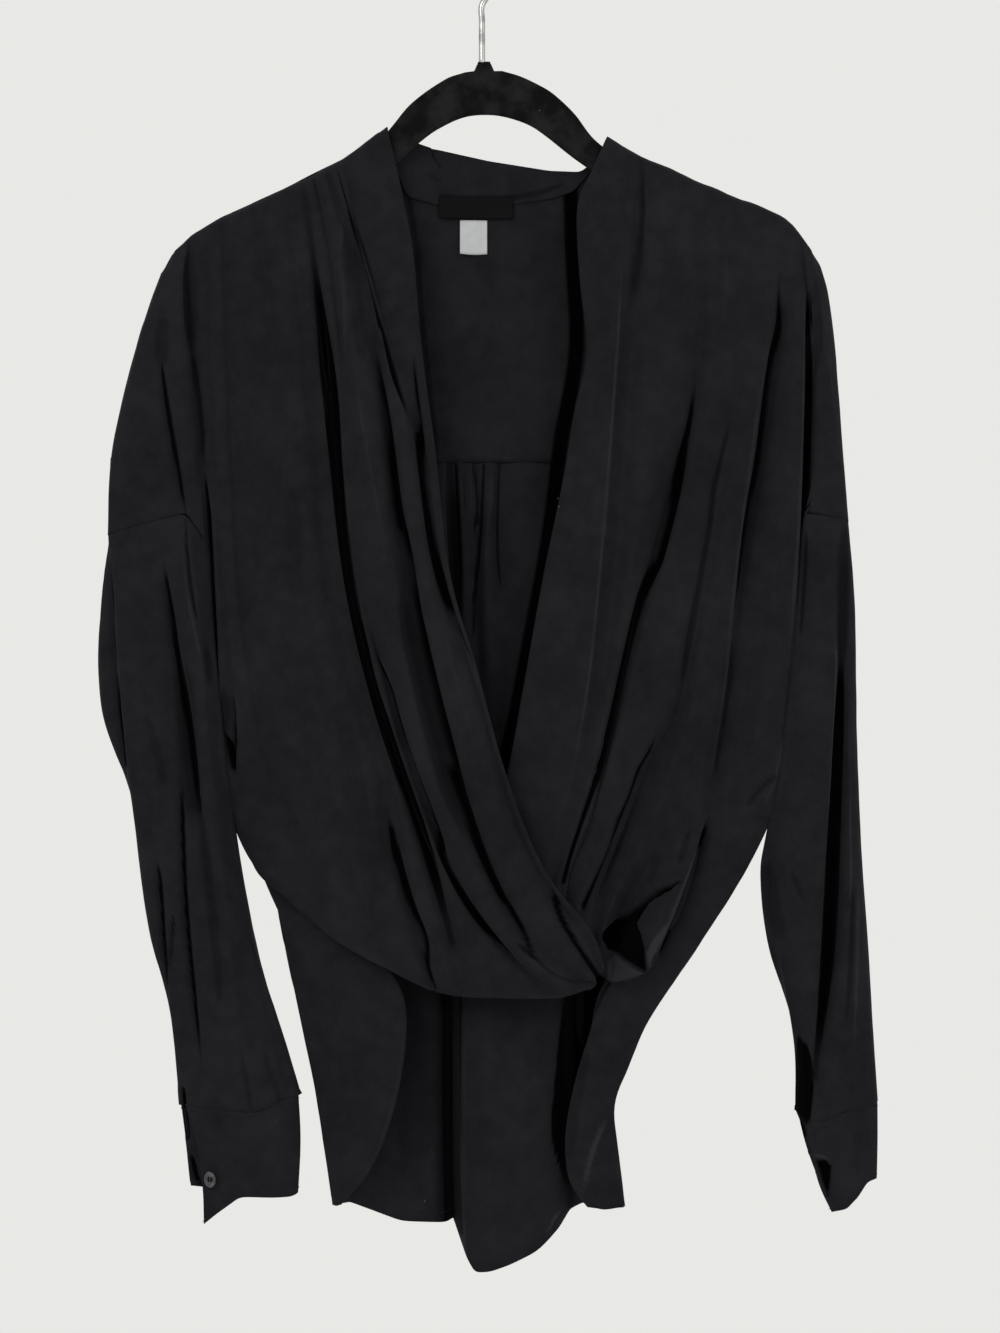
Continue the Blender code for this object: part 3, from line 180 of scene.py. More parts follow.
HOOK_STEP = 1.6                 # between the rings of the wire

# Camera, in metres
VIEW_MIDDLE = (0.0125, -0.508)  # x, z
VIEW_HEIGHT = 0.92              # of the frame at the cloth
VIEW_DISTANCE = 1.9
CLOTH_DEPTH = -0.012

# Colours and lights
CREPE_DARK = (0.0086, 0.0083, 0.0100)
CREPE_LIGHT = (0.0158, 0.0152, 0.0180)
CREPE_RUB_AND_HIGHLIGHT = (0.037, 0.036, 0.040)      # painted highlight on the edges of folds, with nap flattened by rubbing there
CREPE_SHADE = (0.0003, 0.0003, 0.0003)  # painted shade deep inside a crease
LINT = (0.12, 0.12, 0.125)
VELVET_DARK = (0.004, 0.004, 0.0042)
VELVET_LIGHT = (0.012, 0.0125, 0.0125)
VELVET_LINT = (0.16, 0.17, 0.17)
WIRE_BRIGHT = (0.45, 0.46, 0.44)
WIRE_DULL = (0.24, 0.245, 0.245)
SATIN_DARK = (0.0012, 0.0013, 0.0016)
SATIN_LIGHT = (0.004, 0.004, 0.0048)
TAPE_DARK = (0.34, 0.345, 0.35)
TAPE_LIGHT = (0.55, 0.56, 0.565)
BUTTON_DARK = (0.012, 0.012, 0.014)
BUTTON_LIGHT = (0.05, 0.05, 0.055)
THREAD_DARK = (0.006, 0.006, 0.007)
THREAD_LIGHT = (0.014, 0.0135, 0.016)
FLOOR_DARK = (0.74, 0.74, 0.73)
FLOOR_LIGHT = (0.78, 0.78, 0.77)
FLOOR_Z = -1.6
FLOOR_HALF = 1.5                # half its width
STUDIO_COLOR = (0.81, 0.81, 0.79)
STUDIO_STRENGTH = 1.0
STUDIO_LIGHTS = (               # name, place, (width, height), watts
    ("key", (-1.1, -1.9, 0.7), (1.0, 1.0), 16.0),
    ("fill", (1.5, -1.7, -0.2), (1.2, 1.2), 8.0),
)

# Folds of each sheet, in mm. A row is (name, swell, points of (x, drop, depth) down the cloth). The
# swell is the height of the bulge up to the next fold, at its top, middle and end, or None.
RIGHT_FRONT_FOLDS = (
    ("neck_edge", (2, 2, 0), ((-66, 133, -5), (-57.5, 169, -8), (-47.5, 220.5, -11),
     (-42, 284, -13), (-31.5, 364.5, -17), (-21.5, 447.5, -22), (-3.5, 507.5, -27),
     (18.5, 588.5, -32), (45.5, 652.5, -35), (76, 689.5, -36), (83.5, 713, -35))),
    ("neck_pleat", (7, 11, 5), ((-96.5, 155.5, -5), (-90.5, 197, -8), (-72.5, 256.5, -10),
     (-55, 313.5, -12), (-40, 358.5, -14), (-31, 425.5, -17), (-18.5, 481.5, -22),
     (-1.5, 534.5, -26), (16, 594.5, -28), (42, 655, -31), (71, 693, -32), (82, 717.5, -32))),
    ("drape_fold_1", (4, 12, 5), ((-109, 162.5, -8), (-94.5, 206.5, -10), (-81.5, 255, -12),
     (-69.5, 311, -13), (-60.5, 377, -15), (-47.5, 465.5, -18), (-35, 527, -21), (-16, 591, -25),
     (11.5, 656.5, -29), (34, 698, -31), (60.5, 721, -31), (78.5, 727, -31))),
    ("drape_fold_2", (1, 7, 6), ((-116.5, 166.5, -8), (-105, 219, -11), (-96, 293.5, -14),
     (-89.5, 379, -15), (-84, 448, -15), (-70.5, 498, -17), (-51, 566, -20), (-29, 625.5, -24),
     (-2, 678.5, -27), (26, 712.5, -28), (54, 735, -28))),
    ("long_fold", (2, 8, 6), ((-124, 170, -8), (-116.5, 219, -8), (-107, 293.5, -8),
     (-100, 368, -8), (-92.5, 436.5, -9), (-78, 507, -11), (-57.5, 571, -14), (-35, 639.5, -18),
     (-22, 686, -24), (-11, 734.5, -26))),
    ("low_fold", (2, 6, 5), ((-132.5, 173.5, -8), (-125, 255, -13), (-114.5, 344.5, -15),
     (-103, 448, -16), (-84, 531, -16), (-65, 588.5, -16), (-53, 654.5, -19), (-41.5, 696.5, -24),
     (-33, 730.5, -26))),
    ("soft_fold", (2, 5, 5), ((-156.5, 186, -8), (-145, 275.5, -14), (-136, 372.5, -16),
     (-125.5, 462, -17), (-108.5, 558.5, -18), (-87.5, 641.5, -20), (-67, 714.5, -22))),
    ("side_fold", (2, 5, 0), ((-179.5, 195.5, -8), (-175.5, 275.5, -14), (-170.5, 372.5, -15),
     (-163.5, 476, -16), (-147.5, 572.5, -15), (-125.5, 634.5, -14), (-105, 694, -14))),
    ("side_corner", (0, 2, 0), ((-192, 202, -8), (-189.5, 275.5, -13), (-184, 372.5, -14),
     (-178, 462, -13), (-172.5, 551.5, -10), (-165, 607, -8), (-154, 654, -1))),
)

RIGHT_ARM_FOLDS = (
    ("armhole_seam", (0, 6, 0), ((-201.5, 208, -8), (-203.5, 254.5, -7), (-200, 318, -7),
     (-194.5, 365.5, -7), (-189.5, 424, -8))),
    ("armhole_corner", (0, 2, 0), ((-207.5, 214.5, -8), (-212.5, 255, -13), (-214, 289.5, -15),
     (-213, 338, -16), (-203.5, 402, -14))),
    ("arm_drape", (0, 2, 0), ((-214, 220.5, -1.6), (-218, 233, -7), (-225, 258.5, -11),
     (-232, 296.5, -12), (-234, 358.5, -14), (-232, 409, -12))),
    ("arm_round", None, ((-221, 232.5, -1.2), (-227, 248, -5), (-234, 270, -5),
     (-247.5, 318.5, -5), (-256.5, 364.5, -5), (-259, 417, -5))),
    ("arm_edge", None, ((-223, 235, -0.75), (-228.5, 248, -0.75), (-235.5, 270, -0.75),
     (-249, 319, -0.75), (-258, 364.5, -0.75), (-260, 417, -0.75))),
)

LEFT_FRONT_FOLDS = (
    ("neck_edge", (2, 1, 1), ((87, 140, -5), (72.5, 172, -8), (65.5, 186, -9), (67.5, 241, -11),
     (72.5, 293, -12), (64, 331, -12), (56, 379, -12), (42, 447.5, -12), (29.5, 517, -13),
     (18, 579.5, -14), (4, 634.5, -14), (-9.5, 696.5, -14))),
    ("neck_ridge", None, ((99.5, 147.5, -8), (98, 183, -13), (95, 236.5, -16), (92, 307, -17),
     (87, 378.5, -17), (77.5, 487.5, -17), (60.5, 591, -18), (44, 643.5, -18), (29.5, 679.5, -17),
     (18, 712, -16))),
    ("shoulder_pleat", (3, 8, 3), ((107.5, 152, -8), (107, 206.5, -9), (105, 269, -12),
     (100.5, 358.5, -13), (92, 462, -13), (76, 551.5, -14), (60.5, 614, -15), (49, 655, -15),
     (36.5, 716, -15))),
    ("drape_fold_1", (1, 3, 2), ((150.5, 171.5, -8), (152.5, 248, -12), (151, 293, -10),
     (145.5, 347.5, -8), (131, 395, -7), (109.5, 476.5, -7), (89.5, 558.5, -8), (74.5, 613, -9),
     (59.5, 655, -11), (54, 717.5, -13))),
    ("drape_crest", (1, 2, 1), ((163, 176.5, -8), (165.5, 255, -14), (161.5, 344.5, -16),
     (147.5, 434.5, -17), (128.5, 517, -18), (109, 579.5, -18), (89.5, 634.5, -18),
     (74.5, 672.5, -18), (69, 718.5, -17))),
    ("drape_fold_2", None, ((174.5, 182, -8), (178, 275.5, -13), (169.5, 379, -13),
     (150.5, 472.5, -11), (136.5, 538, -8), (120.5, 569.5, -8), (103.5, 607, -8), (88.5, 640, -8),
     (80, 672.5, -10), (76.5, 700, -12), (79.5, 719.5, -15))),
    ("loop_crest", None, ((180, 184, -8), (183, 275.5, -13), (174, 379, -15), (156, 476, -16),
     (143.5, 538, -18), (128.5, 579.5, -19), (116, 614, -20), (106.5, 638, -20), (94.5, 662, -18),
     (85.5, 683, -17), (82, 703.5, -17), (83.5, 721.5, -19))),
    ("loop_hollow", None, ((185.5, 185.5, -8), (187.5, 275.5, -13), (177.5, 379, -15),
     (161.5, 476, -16), (149.5, 538, -18), (138, 579.5, -19), (128.5, 614, -18),
     (119.5, 638, -14), (107.5, 658.5, -8), (96.5, 679.5, -5), (89.5, 700, -6), (89, 725, -24))),
    ("loop_band", None, ((191, 187.5, -8), (192.5, 275.5, -13), (181, 379, -15),
     (166.5, 476, -16), (155, 538, -18), (146.5, 579.5, -19), (139.5, 614, -20),
     (132.5, 638, -21), (120.5, 662, -25), (110.5, 683, -29), (105, 703.5, -31),
     (103.5, 721.5, -31))),
    ("loop_top", None, ((200, 191.5, -8), (198.5, 275.5, -13), (185.5, 379, -14), (171, 476, -15),
     (161, 538, -17), (154, 579.5, -19), (148.5, 614, -21), (141, 638, -25), (129.5, 662, -30),
     (119.5, 686, -34), (112.5, 716, -34))),
    ("long_fold", (2, 5, 0), ((207, 194.5, -8), (210, 227.5, -10), (204, 280.5, -7),
     (194, 351, -6), (185, 406, -6), (176, 469, -6), (166.5, 538, -6), (161.5, 576, -7),
     (158, 600, -9), (155, 616.5, -13), (150.5, 629, -18), (145, 643, -23), (134.5, 669, -27),
     (125, 691, -30), (117.5, 712, -31))),
)

LEFT_SIDE_FOLDS = (
    ("side_fold", (1, 3, 0), ((211, 197, -8), (216.5, 275.5, -13), (210.5, 358.5, -15),
     (200, 448, -15), (189.5, 524, -14), (179.5, 579.5, -12), (179.5, 611.5, -10))),
    ("side_corner", (0, 2, 0), ((215.5, 201, -8), (221.5, 275.5, -12), (218.5, 358.5, -14),
     (213, 448, -13), (207, 517, -10), (203, 572.5, -8), (200, 614.5, -1))),
)

SIDE_TAIL_FOLDS = (
    ("hem_edge", None, ((155, 616.5, -13), (149.5, 634.5, -13), (138.5, 658.5, -14),
     (123, 689.5, -15), (103.5, 712, -15), (85.5, 728.5, -14.5), (79.5, 743.5, -14),
     (73, 765.5, -13.5), (65, 793, -13), (58.5, 824, -12.5), (57.5, 847, -12), (61.5, 869, -10),
     (73, 882, -8))),
    ("flap_middle", (0, 1, 0), ((179.5, 611.5, -10), (165.5, 643, -11), (145, 676, -12.5),
     (119.5, 714, -13), (98, 758.5, -12.5), (83, 800, -12), (76, 841.5, -11), (84, 883.5, -7))),
    ("flap_side", (0, 1, 0), ((200, 614.5, -1), (188.5, 634.5, -4), (165.5, 672, -6),
     (138, 716, -6), (114.5, 753, -5.5), (95, 793, -5), (88.5, 817.5, -4.5), (91, 848.5, -4),
     (96.5, 882, -3))),
    ("silhouette", None, ((201.5, 611, -1.5), (194, 631.5, -1.5), (170.5, 671, -1.5),
     (142, 715, -1.5), (116, 752.5, -1.5), (100, 791, -1.5), (91.5, 810.5, -1.5),
     (94, 841.5, -1.5), (99.5, 883, -1.5))),
)

LEFT_ARM_FOLDS = (
    ("armhole_seam", (0, 3, 0), ((220, 206.5, -8), (227, 271.5, -7), (225, 324, -7),
     (223, 378.5, -7), (220, 424, -8))),
    ("armhole_corner", (0, 2, 0), ((225.5, 214.5, -8), (233, 282.5, -12), (234.5, 344.5, -14),
     (222, 401.5, -13))),
    ("arm_drape", None, ((229, 220, -1.6), (232.5, 234.5, -7), (238.5, 275.5, -10),
     (241.5, 303.5, -9), (246.5, 351.5, -9), (250.5, 406, -7))),
    ("arm_round", None, ((233.5, 227, -1.2), (237.5, 243.5, -5), (242, 271.5, -5),
     (245, 303.5, -4.5), (250, 365.5, -4.5), (253, 407, -4))),
    ("arm_edge", None, ((235, 230, -0.75), (239.5, 243.5, -0.75), (243.5, 271.5, -0.75),
     (246.5, 303.5, -0.75), (251, 365.5, -0.75), (254.5, 407.5, -0.75))),
)

RIGHT_SIDE_SEAM = (
    (-189.5, 424, -8), (-187, 489.5, -7), (-184, 538, -3.5),
    (-183.5, 552.5, -2), (-180, 579.5, -1.7), (-175.5, 608.5, -1.5), (-157.5, 648.5, -1.5),
)

LEFT_SIDE_SEAM = (
    (220, 424, -8), (217.5, 489.5, -7), (214, 534.5, -3.5), (213, 547.5, -2),
    (211, 565.5, -1.7), (208.5, 586, -1.5), (201.5, 611, -1.5),
)

# Here a row says whether the fold starts on the shoulder line or free of it.
YOKE_FOLDS = (
    ("right_arm_edge", "shoulder", ((-223, 235, 0.75), (-235.5, 270, 0.75), (-249, 319, 0.75),
     (-258, 364.5, 0.75))),
    ("right_arm_round", "shoulder", ((-221, 232.5, 1.2), (-227, 248, 5), (-247.5, 318.5, 5),
     (-256.5, 364.5, 5))),
    ("right_arm", "shoulder", ((-214, 220.5, 1.6), (-216.5, 230, 7), (-224, 289.5, 13),
     (-230.5, 364.5, 14))),
    ("right_shoulder_1", "shoulder", ((-201.5, 208, 8), (-203, 289.5, 17), (-204, 364.5, 17))),
    ("right_shoulder_2", "shoulder", ((-179.5, 195.5, 8), (-179.5, 282.5, 18),
     (-179.5, 364.5, 17))),
    ("right_shoulder_3", "shoulder", ((-132.5, 173.5, 8), (-132.5, 275.5, 19),
     (-125.5, 364.5, 20))),
    ("right_shoulder_4", "shoulder", ((-96.5, 155.5, 8), (-94.5, 255, 20), (-77.5, 364.5, 22))),
    ("right_neck_point", "shoulder", ((-69, 135, 8), (-67, 241, 19), (-49.5, 364.5, 22.5))),
    ("right_neck_0", "free", ((-67, 138.5, 7.5), (-63, 244.5, 19.5), (-45, 364.5, 22.5))),
    ("right_neck_1", "free", ((-63, 153, 9.5), (-58, 248, 20), (-39.5, 364.5, 23))),
    ("right_neck_2", "free", ((-53, 177.5, 10), (-49.5, 255, 21), (-32.5, 364.5, 22.5))),
    ("right_neck_3", "free", ((-31.5, 182.5, 16), (-29, 269, 22), (-18.5, 364.5, 22.5))),
    ("back_neck", "free", ((3.5, 184, 20), (3.5, 275.5, 23), (3.5, 364.5, 22.5))),
    ("left_neck_3", "free", ((47, 178.5, 17), (43.5, 275.5, 22), (33, 364.5, 22.5))),
    ("left_neck_2", "free", ((64, 173.5, 12), (62, 255, 21), (48.5, 364.5, 22.5))),
    ("left_neck_1", "free", ((83.5, 155, 9.5), (83, 248, 19), (74.5, 364.5, 22))),
    ("left_neck_0", "free", ((87.5, 144.5, 8), (88.5, 248, 19), (85, 364.5, 21.5))),
    ("left_neck_point", "shoulder", ((89.5, 142, 8), (94, 248, 19), (95, 364.5, 21))),
    ("left_shoulder_4", "shoulder", ((120, 159, 8), (126.5, 262, 20), (136.5, 364.5, 20.5))),
    ("left_shoulder_3", "shoulder", ((163, 176.5, 8), (167.5, 269, 19), (178, 364.5, 19))),
    ("left_shoulder_2", "shoulder", ((211, 197, 8), (211, 282.5, 17), (211, 364.5, 17))),
    ("left_arm", "shoulder", ((225.5, 214.5, 8), (229, 289.5, 16), (227.5, 364.5, 16.5))),
    ("left_arm_drape", "shoulder", ((229, 220, 1.6), (232.5, 233, 7), (238.5, 289.5, 11),
     (244.5, 364.5, 11))),
    ("left_arm_round", "shoulder", ((233.5, 227, 1.2), (237.5, 243.5, 5), (245, 303.5, 5),
     (250, 364.5, 5))),
    ("left_arm_edge", "shoulder", ((235, 230, 0.75), (239.5, 243.5, 0.75), (246.5, 303.5, 0.75),
     (251, 364.5, 0.75))),
)

# The folds of the back panel have no swell.
BACK_TOP_FOLDS = (
    ("right_arm_edge", ((-258, 363, 0.75), (-259.5, 393, 0.75), (-260, 417, 0.75))),
    ("right_arm_round", ((-256.5, 363, 5), (-258, 393, 5), (-259, 417, 5))),
    ("right_arm_drape", ((-230.5, 363, 15.2), (-231, 386, 14), (-232, 409, 12))),
    ("right_armhole_corner", ((-204, 363, 18.2), (-204, 386, 16), (-203.5, 402, 14))),
    ("right_armhole_fold", ((-190.5, 363, 18.2), (-189.5, 396.5, 14), (-189.5, 424, 8))),
    ("right_armpit", ((-179.5, 363, 18.2), (-181, 462, 13), (-183, 541.5, 7),
     (-183.5, 552.5, 1.6))),
    ("right_side", ((-163.5, 363, 19.2), (-167, 462, 17), (-168.5, 552.5, 12))),
    ("right_back_1", ((-125.5, 363, 21.2), (-126.5, 462, 20), (-127, 552.5, 20))),
    ("right_back_2", ((-77.5, 363, 23.2), (-78.5, 462, 22), (-80.5, 552.5, 22))),
    ("right_back_3", ((-39.5, 363, 24.2), (-41.5, 462, 23), (-43, 552.5, 23))),
    ("pleat_1_near", ((-27, 363, 23.2), (-27, 462, 21), (-27, 552.5, 20))),
    ("pleat_1_deep", ((-23, 363, 25.2), (-22, 420.5, 32), (-20.5, 466, 35), (-20.5, 552.5, 37))),
    ("tail_left", ((-17, 363, 22.2), (-13, 434.5, 18), (-12.5, 496.5, 15), (-13, 552.5, 12))),
    ("gather_1", ((-5.5, 363, 25.2), (-3.5, 434.5, 27), (-4, 485.5, 24), (-3, 552.5, 14))),
    ("tail_1", ((3.5, 363, 22.2), (3, 434.5, 18), (4, 489.5, 14), (9, 552.5, 10))),
    ("gather_2", ((13, 363, 25.2), (11, 404.5, 28), (12.5, 440.5, 26), (15, 476, 20),
     (20.5, 552.5, 12))),
    ("tail_2", ((23, 363, 23.2), (26, 462, 18), (36.5, 552.5, 12))),
    ("tail_right", ((40, 363, 23.2), (47, 462, 20), (54, 552.5, 15))),
    ("pleat_2_deep", ((48.5, 363, 24.2), (58, 462, 29), (65, 552.5, 35))),
    ("pleat_2_near", ((58, 363, 23.2), (70.5, 462, 22), (76, 552.5, 20))),
    ("left_back_1", ((95, 363, 22.2), (109, 462, 21), (119.5, 552.5, 20))),
    ("left_back_2", ((150.5, 363, 21.2), (161, 462, 19), (167.5, 552.5, 17))),
    ("left_side", ((195.5, 363, 19.2), (198.5, 462, 16), (200, 551, 12))),
    ("left_armpit", ((211, 363, 18.2), (212.5, 462, 12), (213, 536.5, 6), (213, 547.5, 1.6))),
    ("left_armhole_fold", ((217.5, 363, 18.2), (218.5, 396.5, 14), (220, 424, 8))),
    ("left_armhole_corner", ((227.5, 363, 17.7), (225, 386, 16), (222, 401.5, 14))),
    ("left_arm_drape", ((245.5, 363, 11.2), (248.5, 386, 10), (250.5, 406, 8))),
    ("left_arm_round", ((250, 363, 5), (252, 386, 5), (253, 407, 5))),
    ("left_arm_edge", ((251, 363, 0.75), (253, 386, 0.75), (254.5, 407.5, 0.75))),
)

BACK_TAIL_FOLDS = (
    ("right_hem_edge", ((-183.5, 552.5, 1.6), (-175.5, 608.5, 1.6), (-154, 654, 1.6),
     (-118.5, 681.5, -5), (-77.5, 703.5, -10), (-54.5, 731, -13), (-52.5, 770.5, -14),
     (-63, 823, -13), (-80, 862, -11), (-98, 880, -8))),
    ("right_flap", ((-168.5, 552.5, 12), (-165, 608.5, 10), (-152, 658.5, 4), (-125.5, 703.5, -6),
     (-94.5, 752, -12), (-89.5, 807, -13), (-94.5, 848.5, -11), (-100.5, 881.5, -6))),
    ("right_turn", ((-127, 552.5, 20), (-143, 620.5, 16), (-143, 676, 6), (-132, 736, 0),
     (-118, 798.5, 0), (-110.5, 841.5, 0), (-104, 882, 0))),
    ("right_back_2", ((-80.5, 552.5, 22), (-91, 641.5, 22), (-98, 710.5, 20), (-101.5, 772.5, 17),
     (-98, 827.5, 15), (-92.5, 882, 12))),
    ("right_back_3", ((-43, 552.5, 23), (-48.5, 641.5, 23), (-56.5, 710.5, 21), (-60, 772.5, 19),
     (-59.5, 827.5, 17), (-56.5, 896, 15))),
    ("pleat_1_near", ((-27, 552.5, 20), (-27, 669, 20), (-27.5, 807, 18), (-26, 897.5, 17))),
    ("pleat_1_deep", ((-20.5, 552.5, 37), (-20.5, 669, 38), (-21.5, 807, 38), (-20, 896.5, 34))),
    ("tail_left", ((-13, 552.5, 12), (-14, 669, 6), (-14.5, 779.5, 3), (-12.5, 862, 2),
     (-9.5, 919, 2))),
    ("gather_1", ((-3, 552.5, 14), (-4, 669, 2), (-5.5, 807, -1), (-5.5, 928.5, -1))),
    ("tail_1", ((9, 552.5, 10), (12.5, 669, 0), (12.5, 807, -4), (5.5, 927.5, -4))),
    ("gather_2", ((20.5, 552.5, 12), (26, 669, 2), (26, 807, -4), (20.5, 922, -4))),
    ("tail_2", ((36.5, 552.5, 12), (40, 669, 4), (40.5, 807, -1), (38.5, 913.5, -2))),
    ("tail_right", ((54, 552.5, 15), (55, 669, 9), (56.5, 772.5, 7), (58, 841.5, 4),
     (52.5, 899.5, 3))),
    ("pleat_2_deep", ((65, 552.5, 35), (65.5, 669, 36), (65.5, 772.5, 36), (65, 841.5, 28),
     (60.5, 888.5, 16))),
    ("pleat_2_near", ((76, 552.5, 20), (77.5, 669, 22), (77.5, 772.5, 22), (76, 841.5, 19),
     (70.5, 883, 15))),
    ("left_back_1", ((119.5, 552.5, 20), (109, 669, 20), (94, 765.5, 16), (85.5, 821, 13),
     (85.5, 884.5, 9))),
    ("left_turn", ((167.5, 552.5, 17), (174.5, 641.5, 6), (155, 694, 0), (131, 731, 0),
     (109, 766.5, 0), (90.5, 810.5, 0), (93, 841, 0), (99.5, 883.5, 0))),
    ("left_flap", ((200, 551, 12), (197.5, 624, 3), (154, 676, -6), (123, 717.5, -9),
     (98.5, 758.5, -10), (81.5, 800, -10), (74.5, 841.5, -9), (84, 884.5, -4))),
    ("left_hem_edge", ((213, 547.5, 1.6), (208.5, 586, 1.6), (203, 605.5, 1.6),
     (181.5, 605.5, -5), (161.5, 608.5, -6), (143.5, 641.5, -11), (109, 703.5, -12),
     (81.5, 727.5, -12), (76, 757.5, -11), (63, 810.5, -10), (57.5, 847, -9), (62, 872.5, -7),
     (73, 882, -5))),
)

RIGHT_SLEEVE_FOLDS = (
    ("outer_edge", None, ((-260, 417, 0), (-258, 462, -2), (-253, 527, -2), (-247.5, 575, -1),
     (-240, 629, 0), (-231, 694.5, 0), (-218, 741, 0), (-211, 811, 0))),
    ("outer_front", (0, 3, 1), ((-259, 417, -5), (-256, 462, -7), (-251, 527, -7),
     (-245.5, 575, -6), (-238, 629, -5), (-229, 694.5, -5), (-215.5, 741, -5), (-208.5, 812, -4))),
    ("front_fold", (0, 4, 2), ((-232, 409, -12), (-218.5, 441.5, -10), (-213, 476, -9),
     (-206.5, 510.5, -9), (-202, 551.5, -9), (-196.5, 593, -10), (-190.5, 634.5, -12),
     (-181, 689.5, -14), (-169.5, 752, -14), (-162, 816, -12))),
    ("front_crest", None, ((-204.5, 402.5, -14), (-198.5, 448, -17), (-192.5, 503.5, -18),
     (-188.5, 558.5, -17), (-182, 607, -15), (-172.5, 662, -13), (-158.5, 724, -11),
     (-142, 810, -9))),
    ("armhole_fold", (0, 1, 1), ((-188.5, 424.5, -8), (-185.5, 489.5, -10), (-183.5, 531, -9.5),
     (-181, 576, -8.5), (-175, 612.5, -6.5), (-165.5, 672.5, -6), (-152, 731, -5),
     (-131, 806.5, -4))),
    ("inner_edge", (0, 1, 1), ((-180, 554, 0), (-178, 576, 0), (-174, 604, 0), (-163, 672, 0),
     (-152.5, 724, 0), (-138.5, 761.5, 0), (-125.5, 804, 0))),
    ("back_armhole", (0, 1, 1), ((-188.5, 424.5, 8), (-185.5, 489.5, 12), (-183, 545, 12),
     (-178, 600, 11), (-165.5, 669, 9), (-152.5, 731, 8), (-131, 805.5, 6))),
    ("back_crest", (0, 1, 1), ((-204.5, 402.5, 14), (-201.5, 462, 17), (-200, 531, 18),
     (-194.5, 600, 17), (-179.5, 669, 16), (-167, 738, 15), (-152, 808.5, 13))),
    ("back_drape", None, ((-232, 409, 12), (-239.5, 462, 18), (-243, 517, 20), (-236, 572.5, 18),
     (-218.5, 634.5, 16), (-205, 703.5, 15), (-191, 758.5, 14), (-184, 815.5, 12))),
    ("back_bulge", None, ((-245.5, 413, 8.5), (-260, 441.5, 12), (-267.5, 476, 13),
     (-269, 503.5, 13), (-265.5, 541.5, 12), (-256.5, 567, 10), (-244.5, 600, 8),
     (-236, 648.5, 8), (-223.5, 710.5, 8), (-208.5, 765.5, 7), (-201.5, 813, 6))),
    ("outer_back", None, ((-259, 417, 5), (-264.5, 442.5, 5), (-266.5, 476, 5),
     (-266.5, 503.5, 5), (-263.5, 541.5, 4), (-256, 567, 3), (-243.5, 600, 3), (-238, 648.5, 3),
     (-227.5, 703.5, 3), (-214, 758.5, 3), (-208.5, 812.5, 3))),
)

LEFT_SLEEVE_FOLDS = (
    ("outer_edge", None, ((254.5, 407.5, 0), (259, 460.5, 0), (261.5, 569.5, 0),
     (264.5, 641.5, 0), (268.5, 696.5, 0), (273, 773, 0), (275.5, 807, 0))),
    ("outer_front", (0, 5, 5), ((253, 407, -4), (256.5, 460.5, -6), (259, 569.5, -8),
     (261.5, 641.5, -9), (265, 696.5, -9), (270, 773, -8), (272.5, 808.5, -7))),
    ("front_fold", (0, 5, 1), ((250.5, 406, -7), (249, 460.5, -5), (246.5, 515, -4),
     (243.5, 569.5, -4), (241, 624, -4), (239.5, 683.5, -4), (236.5, 721.5, -5), (233, 749.5, -6),
     (230, 787, -7), (227.5, 823, -7))),
    ("front_crest", (0, 1, 0), ((223, 402, -13), (227.5, 462, -17), (226.5, 531, -17),
     (221.5, 600, -16), (217.5, 669, -16), (219.5, 731, -14), (221.5, 772.5, -10),
     (223.5, 822, -6))),
    ("armhole_fold", (0, 1, 0), ((219, 424.5, -8), (216.5, 489.5, -11), (212, 558.5, -11),
     (205.5, 614, -9), (201, 665.5, -9), (209, 727.5, -8), (217.5, 772.5, -5), (219.5, 818.5, -3))),
    ("inner_edge", (0, 1, 0), ((209, 548, 0), (205.5, 586, 0), (197.5, 625, 0), (193, 649.5, 0),
     (198, 700, 0), (212.5, 745, 0), (217.5, 768.5, 0), (217.5, 814, 0))),
    ("back_armhole", (0, 1, 1), ((219, 424.5, 8), (217.5, 489.5, 12), (214, 558.5, 12),
     (207.5, 614, 11), (202, 669, 11), (210.5, 727.5, 10), (218.5, 772.5, 9), (221.5, 815.5, 8))),
    ("back_crest", (0, 1, 1), ((223, 402, 14), (230, 462, 18), (231, 545, 19), (228.5, 634.5, 17),
     (232, 703.5, 16), (241.5, 765.5, 14), (245.5, 812.5, 12))),
    ("back_drape", (0, 2, 2), ((250.5, 406, 8), (254, 476, 14), (255.5, 572.5, 14),
     (258, 641.5, 13), (262, 703.5, 12), (266.5, 765.5, 10), (267.5, 809, 8))),
    ("outer_back", None, ((253, 407, 5), (257.5, 460.5, 6), (259.5, 569.5, 7), (262, 641.5, 7),
     (266.5, 696.5, 7), (271, 773, 5), (273, 808.5, 4))),
)

